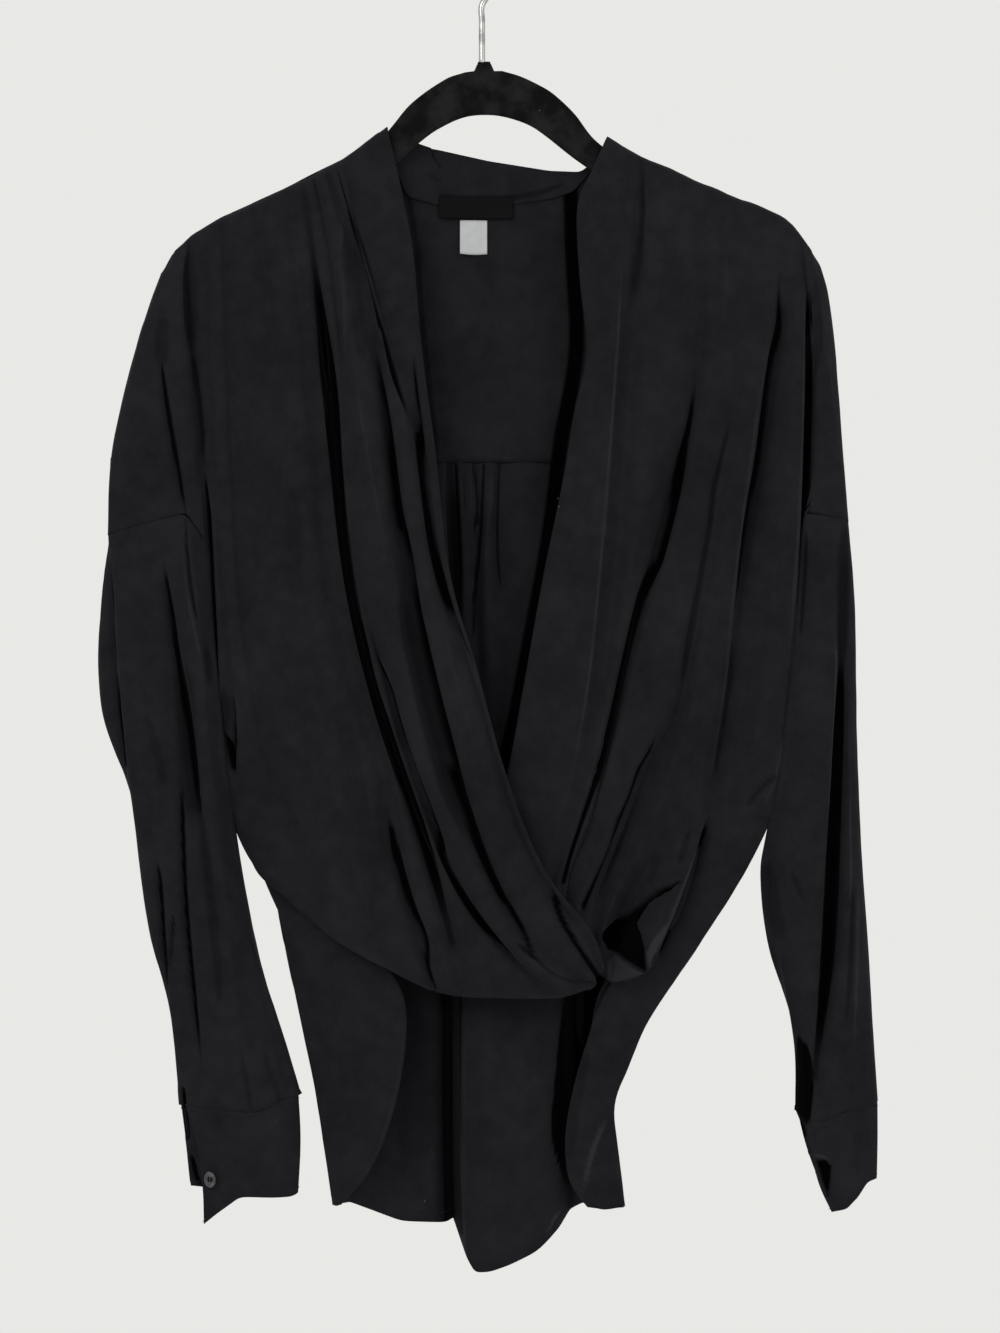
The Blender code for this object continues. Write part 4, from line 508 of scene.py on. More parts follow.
RIGHT_CUFF_FOLDS = (
    ("lap_edge", None, ((-205.5, 813, -5), (-196.5, 843, -8), (-193, 870.5, -8),
     (-192.5, 894, -7))),
    ("lap", None, ((-185.5, 815.5, -9.5), (-183.5, 848.5, -10), (-183, 869, -10),
     (-183.5, 886.5, -9))),
    ("front", None, ((-162, 817.5, -12), (-163.5, 848.5, -12), (-167, 874.5, -10))),
    ("front_inner", None, ((-142, 811, -9), (-142, 841.5, -10), (-145, 875.5, -8))),
    ("inner_front", None, ((-131, 807.5, -4), (-129.5, 841.5, -5), (-131, 875.5, -4))),
    ("inner_edge", None, ((-125.5, 805.5, 0), (-124, 834.5, 0), (-125.5, 872, 0))),
    ("inner_back", None, ((-131, 807, 6), (-129.5, 841.5, 6), (-132.5, 874, 5))),
    ("back_inner", None, ((-152, 810, 13), (-152, 841.5, 12), (-154.5, 873, 10))),
    ("back_outer", None, ((-184, 816.5, 12), (-179.5, 841.5, 11), (-177.5, 874.5, 9))),
    ("outer_back", None, ((-201.5, 814.5, 7), (-197.5, 841.5, 7), (-194.5, 870.5, 7))),
    ("outer_edge", None, ((-210.5, 813, 1), (-207.5, 841.5, 1), (-204, 868.5, 1))),
    ("under_lap_end", None, ((-197.5, 816.5, -2), (-190.5, 841.5, -3), (-186.5, 867.5, -3))),
)

LEFT_CUFF_FOLDS = (
    ("lap_edge", None, ((221.5, 824, -4), (226.5, 841.5, -7), (233, 867, -8), (242, 885.5, -7))),
    ("lap", None, ((233, 825.5, -10), (237.5, 848.5, -12), (244.5, 869, -12), (252, 883, -10))),
    ("front", None, ((251, 818.5, -12.5), (254, 848.5, -13), (260, 874.5, -10))),
    ("outer_front", None, ((266.5, 812.5, -9.5), (267.5, 841.5, -8), (267, 865, -6))),
    ("outer_edge", None, ((276, 811, 0), (276, 834.5, 0), (275.5, 863, 0))),
    ("outer_back", None, ((267.5, 813, 8), (269, 841.5, 8), (269, 865, 6))),
    ("back", None, ((245.5, 816, 12), (248.5, 841.5, 12), (252.5, 869, 10))),
    ("inner_back", None, ((223.5, 816.5, 8), (230, 841.5, 8), (238.5, 865.5, 7))),
    ("inner_edge", None, ((217.5, 816, 2), (223.5, 840, 1), (232, 862, 1))),
    ("under_lap_end", None, ((225, 827, -1), (230.5, 845, -2), (238.5, 865.5, -2))),
)

NECKBAND_FOLDS = (
    ("right_end", None, ((-63.5, 138.5, 7.5), (-61.5, 157, 8.8))),
    ("right_turn", None, ((-51.5, 141, 9), (-52.5, 180.5, 9))),
    ("right_back", None, ((-34.5, 146, 14), (-31, 185.5, 15))),
    ("back_neck", None, ((3.5, 153.5, 19.5), (3.5, 186.5, 19))),
    ("left_back", None, ((47, 161, 16.5), (47, 181, 16))),
    ("left_turn", None, ((69, 163, 10.5), (64, 176.5, 11))),
    ("left_end", None, ((83.5, 151, 8.5), (80, 158.5, 8.4))),
)

# Creases pressed into the sheets, in mm: (name, depth, width, lean, tone, (start, end),
# points of (x, drop)), as press_creases says.
# A positive tone paints shade into the crease; a negative one paints a highlight along it.
RIGHT_FRONT_CREASES = (
    ("long_drape", 5.5, 2.6, -1, 1.1, (0, 0.3), ((-123, 180), (-102, 324), (-99, 372), (-91, 441),
     (-85, 476), (-75, 524), (-49, 594), (-19, 700))),
    ("shoulder_gather", 4.5, 1, -1, 1, (0.3, 0), ((-99, 167), (-57, 314), (-43, 352))),
    ("gather_valley", 2.5, 5, 0, 0.3, (0, 0), ((-95, 203), (-84, 276), (-81, 310))),
    ("inner_drape", 4.5, 1.11, -1, 1, (0, 0), ((-48, 272), (-46, 308), (-33, 421), (-20, 471),
     (1, 521))),
    ("main_drape", 6, 1.35, -1, 1.05, (0, 0.2), ((-84, 244), (-66, 328), (-57, 400), (-50, 433),
     (-43, 481), (-32, 529), (-23, 562), (-15, 592), (10, 655), (28, 687), (38, 707), (55, 720),
     (75, 725))),
    ("main_valley", 3, 5.5, 1, 0.45, (0, 0), ((-58, 434), (-50, 481), (-23, 590), (-1, 643))),
    ("second_drape", 4.5, 1.04, -1, 1, (0, 0), ((-80, 466), (-72, 499), (-63, 521), (-55, 549),
     (-30, 621), (-23, 644), (0, 682), (30, 715), (47, 728))),
    ("low_drape", 4.5, 1.41, -1, 1, (0, 0.4), ((-65, 600), (-59, 631), (-48, 672), (-39, 695),
     (-37, 714), (-32, 728))),
    ("low_valley", 2, 5, 0, 0.25, (0, 0), ((-66, 572), (-68, 600), (-66, 634), (-59, 666))),
    ("soft_valley", 2.2, 8, 0, 0.22, (0, 0), ((-99, 524), (-84, 607), (-61, 686))),
    ("end_fold", 3, 1.5, -1, 0.9, (0.2, 1), ((46, 656), (59, 686), (83, 723))),
    ("end_pinch", 2.5, 1.8, 0, 0.55, (0, 0), ((23, 695), (28, 699), (40, 709))),
    ("neck_ridge", -1.4, 1, 0, -0.25, (0, 0), ((-98, 171), (-93, 300), (-92, 317))),
    ("drape_ridge_1", -1.2, 1, 0, -0.22, (0, 0), ((-90, 290), (-77, 369), (-62, 445))),
    ("drape_ridge_2", -1.3, 1, 0, -0.25, (0, 0), ((-68, 403), (-40, 531), (-31, 562), (-23, 593),
     (-14, 624))),
    ("drape_ridge_3", -1, 1, 0, -0.2, (0, 0), ((-28, 462), (-17, 517), (-1, 572))),
    ("drape_ridge_4", -1, 1, 0, -0.2, (0, 0), ((-62, 310), (-55, 331), (-50, 355))),
    ("armhole_top", 3.5, 1.7, 1, 0.5, (0, 0.2), ((-201, 211), (-204, 238), (-201, 298))),
    ("armhole_middle", 3, 1.2, 1, 0.6, (0.3, 0.3), ((-201, 288), (-195, 341), (-193, 369))),
    ("armhole_deep", 5, 1.41, 0, 1, (0, 0.4), ((-193, 360), (-189, 407), (-183, 525))),
    ("armpit_flap", 3, 3.4, 0, 0.35, (0.3, 0.6), ((-179, 524), (-179, 538), (-179, 552))),
    ("armpit_edge", 3, 1.04, -1, 0.9, (0, 0.5), ((-172, 523), (-171, 559), (-172, 578))),
    ("cap_crease", 3.5, 1.41, -1, 0.85, (0, 0.3), ((-220, 286), (-220, 305), (-204, 403))),
    ("cap_valley", 2, 4.5, 0, 0.3, (0, 0), ((-219, 262), (-221, 283), (-220, 307))),
    ("plain_fold", 1.6, 5, 0, 0.2, (0, 0), ((-132, 379), (-128, 421), (-126, 445))),
    ("soft_fold", 1.6, 9, 0, 0.12, (0, 0), ((-167, 255), (-165, 324), (-152, 490), (-139, 559))),
    ("chest_valley", 1.8, 10, 0, 0.15, (0, 0), ((-113, 220), (-115, 283), (-110, 407), (-97, 524))),
    ("hem_ripple", 1.6, 8, 0, 0.1, (0, 0), ((-135, 600), (-124, 641), (-110, 683))),
)

LEFT_FRONT_CREASES = (
    ("neck_ridge", -1.6, 1, 0, -0.34, (0, 0), ((100, 152), (92, 307), (77, 488), (61, 590),
     (45, 641))),
    ("neck_ridge_foot", 2.2, 3.6, 1, 0.25, (0, 0), ((107, 179), (105, 236), (100, 281), (88, 433),
     (75, 548), (66, 591), (55, 621))),
    ("shoulder_pleat", 3.2, 1.8, 0, 0.35, (0.3, 0), ((110, 158), (110, 203), (102, 269))),
    ("pleat_ridge", -1, 0.9, 0, -0.25, (0, 0), ((113, 164), (113, 193), (112, 229))),
    ("drape_1", 5.5, 1.41, -1, 1.1, (0, 0.6), ((156, 276), (150, 296), (144, 343), (124, 430),
     (112, 462), (83, 578), (64, 631), (57, 657))),
    ("drape_1_valley", 1.8, 7, 0, 0.2, (0, 0), ((139, 324), (134, 352), (102, 462))),
    ("middle_drape", 3.6, 2, -1, 0.5, (0, 0), ((173, 314), (172, 337), (160, 385), (157, 414),
     (134, 548))),
    ("drape_2", 4.5, 1.78, 1, 1, (0, 0.9), ((124, 546), (116, 567), (108, 581), (103, 597),
     (95, 614), (88, 636), (70, 673))),
    ("drape_3", 4.5, 1.78, 1, 0.95, (0, 0), ((210, 218), (206, 243), (205, 273), (200, 298),
     (190, 371), (185, 396), (172, 490))),
    ("drape_3_ridge", -1.5, 1.1, 0, -0.28, (0, 0), ((203, 243), (200, 276), (190, 331),
     (171, 476), (167, 517), (152, 614))),
    ("drape_3_foot", 2, 1.48, 1, 0.45, (0, 0), ((174, 476), (170, 524), (159, 595))),
    ("armhole_crease", 4, 1.48, 1, 0.95, (0, 0), ((227, 214), (220, 462), (215, 542))),
    ("armhole_ridge", -1.8, 1.3, 0, -0.3, (0, 0), ((223, 227), (220, 371), (210, 534))),
    ("armhole_valley", 2, 4.5, 0, 0.3, (0, 0), ((232, 229), (232, 255), (228, 317))),
    ("elbow_pucker", 1.8, 1.6, 0, 0.45, (0, 0), ((206, 581), (190, 596), (182, 608))),
    ("pucker_ridge", -1.2, 1.1, 0, -0.28, (0, 0), ((211, 542), (203, 585), (189, 617))),
    ("loop_crease", 2, 2, 0, 0.35, (0, 0), ((144, 618), (139, 631), (134, 646))),
    ("loop_wrinkle", 1.6, 2.6, 0, 0.3, (0, 0), ((120, 634), (118, 648), (113, 661))),
    ("loop_pocket_top", 3, 1, 0, 1, (0, 1), ((137, 655), (119, 664), (105, 678))),
    ("loop_edge", -1.2, 1, 0, -0.4, (0, 0.4), ((153, 615), (148, 633), (119, 704))),
    ("under_loop", 4.5, 1.48, 1, 0.9, (0, 0.6), ((159, 604), (138, 672), (123, 705))),
    ("shoulder_valley", 1.6, 6, 0, 0.15, (0, 0), ((131, 186), (130, 220), (120, 303))),
    ("chest_ridge", -1.2, 1.6, 0, -0.15, (0, 0), ((169, 210), (167, 267), (161, 286))),
    ("side_valley", 1.6, 6, 0, 0.15, (0, 0), ((197, 434), (192, 490), (179, 586))),
    ("flap_foot", 2, 3.4, 0, 0.3, (0, 0), ((75, 759), (64, 814), (61, 841), (63, 862))),
    ("flap_ridge", -1.8, 1.6, 0, -0.5, (0, 0.4), ((90, 813), (79, 835), (68, 875))),
    ("flap_side_ridge", -1, 1.6, 0, -0.15, (0, 0), ((92, 817), (95, 862), (99, 879))),
)

BACK_CREASES = (
    ("tail_fold_1", 2.5, 5, 0, 0.2, (0, 0), ((-1, 496), (3, 738), (1, 862))),
    ("tail_fold_2", 2.2, 5, 0, 0.2, (0, 0), ((28, 531), (33, 634), (29, 848))),
    ("right_gather_1", 2.2, 1.8, 0, 0.3, (0.8, 0), ((-152, 367), (-150, 407), (-148, 455))),
    ("right_gather_2", 3.5, 3.4, 1, 0.25, (0.6, 0), ((-126, 367), (-123, 434), (-110, 614))),
    ("right_gather_3", 2.2, 2, 0, 0.3, (0.8, 0), ((-99, 367), (-99, 414), (-102, 476))),
    ("right_gather_4", 3.2, 3.8, 1, 0.22, (0.6, 0), ((-76, 367), (-73, 462), (-80, 710))),
    ("right_gather_5", 2, 1.8, 0, 0.3, (0.8, 0), ((-50, 367), (-50, 407), (-52, 448))),
    ("left_gather_1", 2, 1.8, 0, 0.3, (0.8, 0), ((75, 367), (76, 414), (79, 462))),
    ("left_gather_2", 3.2, 3.8, -1, 0.22, (0.6, 0), ((97, 367), (99, 462), (94, 710))),
    ("left_gather_3", 2.2, 2, 0, 0.3, (0.8, 0), ((119, 367), (120, 421), (123, 469))),
    ("left_gather_4", 3.5, 3.4, -1, 0.25, (0.6, 0), ((145, 367), (145, 434), (141, 517),
     (130, 614))),
    ("left_gather_5", 2.2, 1.8, 0, 0.3, (0.8, 0), ((172, 367), (172, 407), (169, 455))),
    ("right_drag", 2, 5, 0, 0.12, (0, 0), ((-185, 441), (-161, 496), (-132, 566))),
    ("left_drag", 2, 5, 0, 0.12, (0, 0), ((211, 441), (186, 496), (155, 566))),
    ("left_armhole_back", 3.5, 2.2, 0, 0.4, (0, 0), ((217, 371), (219, 421), (213, 531))),
    ("right_armhole_back", 3.5, 2.2, 0, 0.4, (0, 0), ((-190, 371), (-189, 424), (-184, 531))),
)

FLAP_CREASES = (
    ("right_flap_fold", 1.8, 7, 0, 0.15, (0, 0), ((-152, 672), (-136, 704), (-120, 745),
     (-103, 841))),
    ("right_flap_edge", -0.8, 1, 0, -0.2, (0, 0), ((-54, 738), (-55, 770), (-59, 799), (-73, 844),
     (-94, 876))),
)

# Strokes of depth 0 press nothing in and only paint shade on the inside of the back, such as the
# shadow beside the lapel.
INNER_CREASES = (
    ("gather_0", -4, 1.6, 0, 0.3, (0.8, 0), ((-24, 366), (-24, 386), (-19, 462))),
    ("gather_1", -4, 1.5, 0, 0.65, (0.9, 0.2), ((-19, 366), (-17, 441), (-16, 466))),
    ("gather_2", -2.5, 1, 0, 0.5, (0.5, 0), ((-12, 366), (-12, 383), (-11, 403))),
    ("gather_3", -3, 1.1, 0, 0.65, (0.7, 0), ((-6, 366), (-4, 396), (-6, 421))),
    ("gather_4", -3.5, 1.3, 0, 0.7, (0.7, 0.3), ((1, 366), (-4, 445), (-8, 472))),
    ("gather_5", -3, 1, 0, 0.6, (0.7, 0), ((12, 366), (11, 421), (14, 466))),
    ("gather_6", -3, 1.1, 0, 0.6, (0, 0.3), ((-3, 445), (-5, 465), (-6, 490))),
    ("gather_ridge_1", 1.2, 1, 0, -0.2, (0.5, 0), ((-9, 366), (-8, 386), (-8, 407))),
    ("gather_ridge_2", 1.2, 1, 0, -0.2, (0.5, 0), ((7, 366), (6, 393), (3, 421))),
    ("lapel_shadow", 0, 4.4, 0, 1.1, (0.9, 0.6), ((62, 176), (63, 214), (66, 286), (55, 352),
     (46, 421), (28, 517), (13, 583))),
    ("neck_shadow", 0, 1.92, -1, 0.5, (0.7, 0.3), ((-51, 179), (-46, 214), (-39, 296), (-29, 379))),
    ("left_inner_shade", 0, 14, 0, 0.3, (1, 0.4), ((-40, 721), (-43, 807), (-48, 862))),
    ("hem_shade", 0, 12, 0, 0.25, (0.6, 0.6), ((-14, 740), (40, 741), (51, 740))),
    ("centre_ridge", 0.8, 1.2, 0, -0.2, (0.4, 0.4), ((-13, 745), (-12, 848), (-10, 904))),
    ("turned_hem", 1, 1, 0, -0.5, (0, 0), ((55, 884), (46, 898), (42, 902))),
)

NECKBAND_CREASES = (
    ("band_pinch", -1.6, 1, 0, 0.5, (0.7, 0), ((-36, 145), (-34, 152), (-26, 162))),
    ("band_crease", -1, 1.2, 0, 0.3, (0, 0), ((-43, 162), (-36, 165), (-26, 171))),
    ("band_root", -1, 2.22, 0, 0.45, (0.6, 0), ((-29, 179), (-8, 180), (26, 179), (54, 172),
     (68, 166))),
)

RIGHT_SLEEVE_CREASES = (
    ("long_crease_1", 4.5, 1.48, -1, 0.95, (0, 0.4), ((-225, 421), (-220, 435), (-195, 610))),
    ("long_crease_tail", 2, 3, 0, 0.35, (0.5, 0), ((-195, 600), (-182, 717), (-181, 757))),
    ("middle_crease", 4.5, 1.41, -1, 1, (0, 0.2), ((-208, 567), (-205, 659), (-198, 744),
     (-193, 788))),
    ("middle_valley", 2.5, 6.5, 0, 0.4, (0, 0), ((-208, 490), (-201, 593), (-200, 628))),
    ("outer_crease", 4, 1.48, -1, 1, (0, 0.2), ((-226, 634), (-223, 655), (-218, 738))),
    ("small_crease", 1.6, 1, 0, 0.6, (0, 0), ((-213, 672), (-214, 696), (-217, 723))),
    ("upper_outer", 1.8, 3, 0, 0.3, (0, 0), ((-234, 534), (-222, 577), (-218, 597))),
    ("bulge_foot", 4, 1.41, -1, 1, (0.3, 0.5), ((-259, 426), (-253, 531), (-248, 577))),
    ("bulge_ridge", -1.4, 0.9, 0, -0.35, (0, 0), ((-255, 455), (-253, 482), (-250, 531))),
    ("armhole_edge", 1.8, 1.04, 0, 0.6, (0.4, 0), ((-204, 404), (-203, 432), (-197, 472),
     (-191, 484))),
    ("edge_ridge", -1.4, 1, 0, -0.28, (0, 0), ((-206, 414), (-202, 460), (-194, 500), (-191, 524))),
    ("forearm_fold", 1.8, 5, 0, 0.2, (0, 0), ((-172, 683), (-167, 721), (-155, 790))),
    ("shade_inner", 2, 2.22, 0, 0.45, (0, 0), ((-190, 490), (-188, 507), (-187, 524))),
    ("cuff_gather_1", 2, 1.4, 0, 0.25, (0.5, 0), ((-159, 815), (-163, 793), (-167, 771))),
    ("cuff_gather_2", 1.8, 1.4, 0, 0.2, (0.5, 0), ((-139, 809), (-145, 790), (-150, 772))),
    ("placket", 4, 1.33, 0, 1, (0, 1), ((-208, 796), (-207, 807), (-206, 824))),
)

LEFT_SLEEVE_CREASES = (
    ("long_crease", 5.5, 2.52, 1, 1, (0, 0.3), ((250, 469), (239, 699), (230, 792))),
    ("long_valley", 2.5, 4, 0, 0.4, (0, 0), ((252, 396), (251, 434), (248, 517))),
    ("long_ridge", -1.4, 1, 0, -0.4, (0, 0), ((248, 407), (244, 515), (235, 669))),
    ("outer_ridge_1", -1, 1, 0, -0.35, (0, 0), ((253, 531), (255, 669), (253, 710))),
    ("outer_ridge_2", -1, 1, 0, -0.35, (0, 0), ((259, 628), (260, 669), (256, 793))),
    ("outer_crease_2", 1.6, 1.6, 0, 0.4, (0, 0), ((257, 648), (254, 724), (250, 766))),
    ("inner_shade", 2, 5, 0, 0.35, (0, 0), ((197, 636), (198, 655), (207, 704))),
    ("forearm_wrinkle", 1.4, 1.6, 0, 0.35, (0, 0), ((212, 645), (217, 659), (224, 672))),
    ("placket_fold", 1, 1.78, 0, 1, (0, 1), ((228, 790), (227, 804), (225, 822))),
    ("armhole_edge", 1.8, 1.18, 0, 0.5, (0, 0), ((224, 404), (223, 434), (219, 496))),
)

CUFF_CREASES = (
    ("right_placket", 3, 1.48, 0, 1, (1, 0), ((-206, 815), (-205, 828), (-204, 839))),
    ("right_end_loop", 3, 1.48, 0, 0.9, (0.2, 0.3), ((-202, 846), (-198, 863), (-195, 868))),
    ("right_dent_ridge", -1.2, 1, 0, -0.25, (0, 0), ((-152, 830), (-145, 825), (-137, 816))),
    ("right_dent", 1.2, 3.6, 0, 0.12, (0, 0), ((-144, 828), (-145, 841), (-146, 869))),
    ("right_dent_2", 1, 2.4, 0, 0.1, (0, 0), ((-184, 822), (-179, 826), (-175, 831))),
    ("left_placket", 3, 2.52, 0, 1.1, (1, 0.2), ((222, 815), (221, 826), (224, 836))),
    ("left_pinch_ridge", -1.4, 0.9, 0, -0.5, (0, 0), ((227, 844), (233, 846), (241, 848))),
    ("left_dent", 1.2, 3, 0, 0.2, (0, 0), ((258, 821), (259, 841), (259, 861))),
)

# Areas with a crisp edge: (name, sheet, depth, softness, tone, corners). A positive tone paints
# shade into the area, as in the dark gaps between layers, the loop's pocket and the openings; a
# negative one paints a highlight.
PATCHES = (
    ("loop_pocket", "left_front", 6, 2.6, 1.1, ((137, 655), (119, 662), (105, 674), (83, 693),
     (88, 702), (98, 711), (112, 717), (110, 699), (105, 684), (115, 668))),
    ("loop_tip", "left_front", -1.2, 2.2, -0.5, ((128, 681), (124, 692), (117, 706), (114, 715),
     (112, 704), (117, 693))),
    ("tongue", "left_front", -1, 2.2, -0.42, ((86, 712), (92, 706), (103, 713), (115, 718),
     (102, 722), (93, 725), (86, 724))),
    ("left_gap", "inside", 0, 1.6, 1.1, ((-29, 721), (-14, 721), (-14, 807), (-14, 862),
     (-12, 905), (-26, 905), (-28, 828))),
    ("left_gap_side", "inside", 0, 12, 0.55, ((-34, 721), (-23, 721), (-23, 905), (-32, 905),
     (-35, 807))),
    ("right_gap", "inside", 0, 1.8, 1.1, ((57, 714), (57, 738), (52, 779), (48, 821), (49, 841),
     (58, 870), (68, 872), (76, 821), (77, 778), (70, 774), (66, 766), (65, 714))),
    ("right_gap_side", "inside", 0, 1.8, 1.1, ((72, 714), (72, 759), (70, 772), (81, 777),
     (87, 714))),
    ("placket_opening", "left_sleeve", 0.5, 2.6, 1.1, ((218, 763), (225, 770), (230, 788),
     (227, 808), (224, 835), (217, 835), (217, 800))),
    ("left_pinch", "cuff", 3, 2.2, 1.1, ((231, 850), (237, 849), (241, 853), (240, 864),
     (239, 874), (235, 864))),
    ("left_placket_end", "cuff", 0.5, 2.4, 1.1, ((217, 811), (226, 811), (224, 825), (221, 835),
     (219, 828))),
    ("armpit_hole", "right_front", 4, 2.4, 1.1, ((-180, 554), (-174, 560), (-171, 569),
     (-171, 581), (-175, 578), (-178, 567))),
)


# ---------------------------------------------------------------- finishes

class Signal:
    """A shader socket that takes part in Python expressions."""

    def __init__(self, finish, socket):
        self.finish = finish
        self.socket = socket

    def maths(self, operation, first, second):
        return self.finish.node("ShaderNodeMath", {"operation": operation}, [first, second])

    def __add__(self, other):
        return self.maths("ADD", self, other)

    def __rsub__(self, other):
        return self.maths("SUBTRACT", other, self)

    def __mul__(self, other):
        return self.maths("MULTIPLY", self, other)

    __radd__ = __add__

    def above(self, edge, softness):
        """0 below edge, rising to 1 over softness."""
        return self.finish.node("ShaderNodeMapRange", {"interpolation_type": "SMOOTHSTEP"},
                                {"Value": self, "From Min": edge, "From Max": edge + softness})


class Finish:
    """A material built from nodes on one Principled shader."""

    def __init__(self, name, **constants):
        self.material = bpy.data.materials.new(name)
        self.material.use_nodes = True
        self.tree = self.material.node_tree
        self.shader = self.tree.nodes["Principled BSDF"]
        for key, value in constants.items():
            self.socket(key).default_value = value
        self.place = self.node("ShaderNodeTexCoord", output="Object")

    def socket(self, name):
        return self.shader.inputs[name.replace("_", " ").title().replace("Ior", "IOR")]

    def node(self, kind, settings=None, inputs=(), output=0):
        made = self.tree.nodes.new(kind)
        for key, value in (settings or {}).items():
            setattr(made, key, value)
        for key, value in inputs.items() if isinstance(inputs, dict) else enumerate(inputs):
            socket = made.inputs[key]
            if isinstance(value, Signal):
                self.tree.links.new(value.socket, socket)
            elif value is not None:
                socket.default_value = (*value, 1.0) if socket.type == "RGBA" else value
        return Signal(self, made.outputs[output])

    def stretched(self, scale):
        """The place, scaled differently along X, Y and Z."""
        return self.node("ShaderNodeVectorMath", {"operation": "MULTIPLY"}, [self.place, scale])

    def clouds(self, scale, detail=2.0, roughness=0.5, place=None):
        return self.node("ShaderNodeTexNoise", None, {
            "Vector": place or self.place, "Scale": scale, "Detail": detail, "Roughness": roughness})

    def ribs(self, direction, scale):
        return self.node("ShaderNodeTexWave", {"bands_direction": direction}, {
            "Vector": self.place, "Scale": scale, "Distortion": 0.6, "Detail": 1.0})

    def specks(self, scale, size, share):
        """Small round specks: size is a share of their spacing and share is how many are kept."""
        cell = {"Vector": self.place, "Scale": scale}
        near = self.node("ShaderNodeTexVoronoi", None, cell, "Distance")
        pick = self.node("ShaderNodeTexVoronoi", None, cell, "Color")
        luck = self.node("ShaderNodeSeparateColor", None, [pick], "Red")
        return (1 - near.above(size * 0.6, size * 0.4)) * luck.above(1 - share, 0.001)

    def blend(self, amount, low, high):
        """A colour between low and high, which are sockets 6 and 7 of the mix node."""
        return self.node("ShaderNodeMix", {"data_type": "RGBA"}, {0: amount, 6: low, 7: high}, 2)

    def relief(self, height, distance, strength, under=None):
        """Bump from a height between 0 and 1, whose full height is distance in metres."""
        return self.node("ShaderNodeBump", None, {
            "Height": height, "Distance": distance, "Strength": strength, "Normal": under})

    def feed(self, **signals):
        for name, value in signals.items():
            self.tree.links.new(value.socket, self.socket(name))


def crepe_finish():
    """Sand-washed crepe: a pebbled weave under a short nap, cloudy, with painted shade in its creases
    and a painted highlight on its folds' edges, which also stands for nap flattened by rubbing.
    """
    cloth = Finish("sueded_crepe", roughness=0.85, sheen_weight=0.03, sheen_roughness=0.5,
                   sheen_tint=(0.86, 0.84, 0.92, 1.0), specular_ior_level=0.01)
    cloudy = cloth.clouds(16.0, 4.0, 0.62)
    mottle = cloth.clouds(85.0, 3.0, 0.6)
    pebble = cloth.clouds(1500.0, 2.0, 0.55)
    crinkle = cloth.clouds(240.0, 3.0, 0.6, cloth.stretched((1.0, 1.0, 0.45)))
    tone = cloudy * 0.4 + mottle * 0.3 + pebble * 0.3
    nap = cloth.blend(tone.above(0.32, 0.36), CREPE_DARK, CREPE_LIGHT)
    # the fold attribute carries painted shade and painted highlights
    fold = cloth.node("ShaderNodeAttribute", {"attribute_name": FOLD_PAINTED_LIGHT}, (), "Fac")
    # painted highlight on fold edges, also standing for nap flattened by rubbing
    nap = cloth.blend((0.0 - fold).above(0.0, 1.0) * (0.7 + mottle * 0.6), nap, CREPE_RUB_AND_HIGHLIGHT)
    # painted shade deep in the creases
    nap = cloth.blend(fold.above(0.0, 1.0), nap, CREPE_SHADE)
    lint = cloth.specks(75.0, 0.05, 0.02)
    soft = cloth.relief(crinkle, 0.0012, 0.35)
    cloth.feed(base_color=cloth.blend(lint * 0.5, nap, LINT), roughness=0.78 + tone * 0.16,
               normal=cloth.relief(pebble, 0.00022, 0.6, soft))
    return cloth.material


def velvet_finish():
    """Short black flocking with lint caught in it."""
    velvet = Finish("black_flocking", roughness=0.95, sheen_weight=0.12, sheen_roughness=0.35,
                    sheen_tint=(0.7, 0.72, 0.72, 1.0), specular_ior_level=0.05)
    brushed = velvet.clouds(55.0, 3.0, 0.6)
    fibre = velvet.clouds(2600.0, 1.0)
    lint = velvet.specks(150.0, 0.07, 0.10)
    pile = velvet.blend(brushed.above(0.35, 0.3), VELVET_DARK, VELVET_LIGHT)
    velvet.feed(base_color=velvet.blend(lint * 0.6, pile, VELVET_LINT),
                roughness=0.86 + fibre * 0.14, normal=velvet.relief(fibre, 0.0002, 0.8))
    return velvet.material


def wire_finish():
    """Bright plated wire with fine drawing lines and a few dull spots."""
    wire = Finish("plated_wire", metallic=1.0, roughness=0.22)
    drawn = wire.clouds(420.0, 2.0, 0.5, wire.stretched((1.0, 1.0, 0.08)))
    dull = wire.clouds(120.0, 3.0)
    wire.feed(base_color=wire.blend(dull.above(0.45, 0.3), WIRE_BRIGHT, WIRE_DULL),
              roughness=0.14 + dull * 0.22, normal=wire.relief(drawn, 0.0001, 0.25))
    return wire.material


def woven_finish(name, threads, low, high, rough, gloss):
    """Narrow woven ribbon: warp and weft ribs across each other."""
    ribbon = Finish(name, roughness=rough, sheen_weight=0.02, specular_ior_level=gloss)
    weave = ribbon.ribs("X", threads) * 0.5 + ribbon.ribs("Z", threads * 0.7) * 0.5
    cloudy = ribbon.clouds(160.0, 3.0)
    ribbon.feed(base_color=ribbon.blend(weave * 0.55 + cloudy * 0.45, low, high),
                roughness=rough - 0.08 + cloudy * 0.16, normal=ribbon.relief(weave, 0.00012, 0.5))
    return ribbon.material


def button_finish():
    """Dark polished button with a faint marbled grain."""
    button = Finish("dark_button", roughness=0.25, coat_weight=0.35, coat_roughness=0.12)
    grain = button.clouds(260.0, 4.0, 0.6, button.stretched((1.0, 1.0, 0.4)))
    button.feed(base_color=button.blend(grain.above(0.42, 0.25), BUTTON_DARK, BUTTON_LIGHT),
                roughness=0.18 + grain * 0.2)
    return button.material


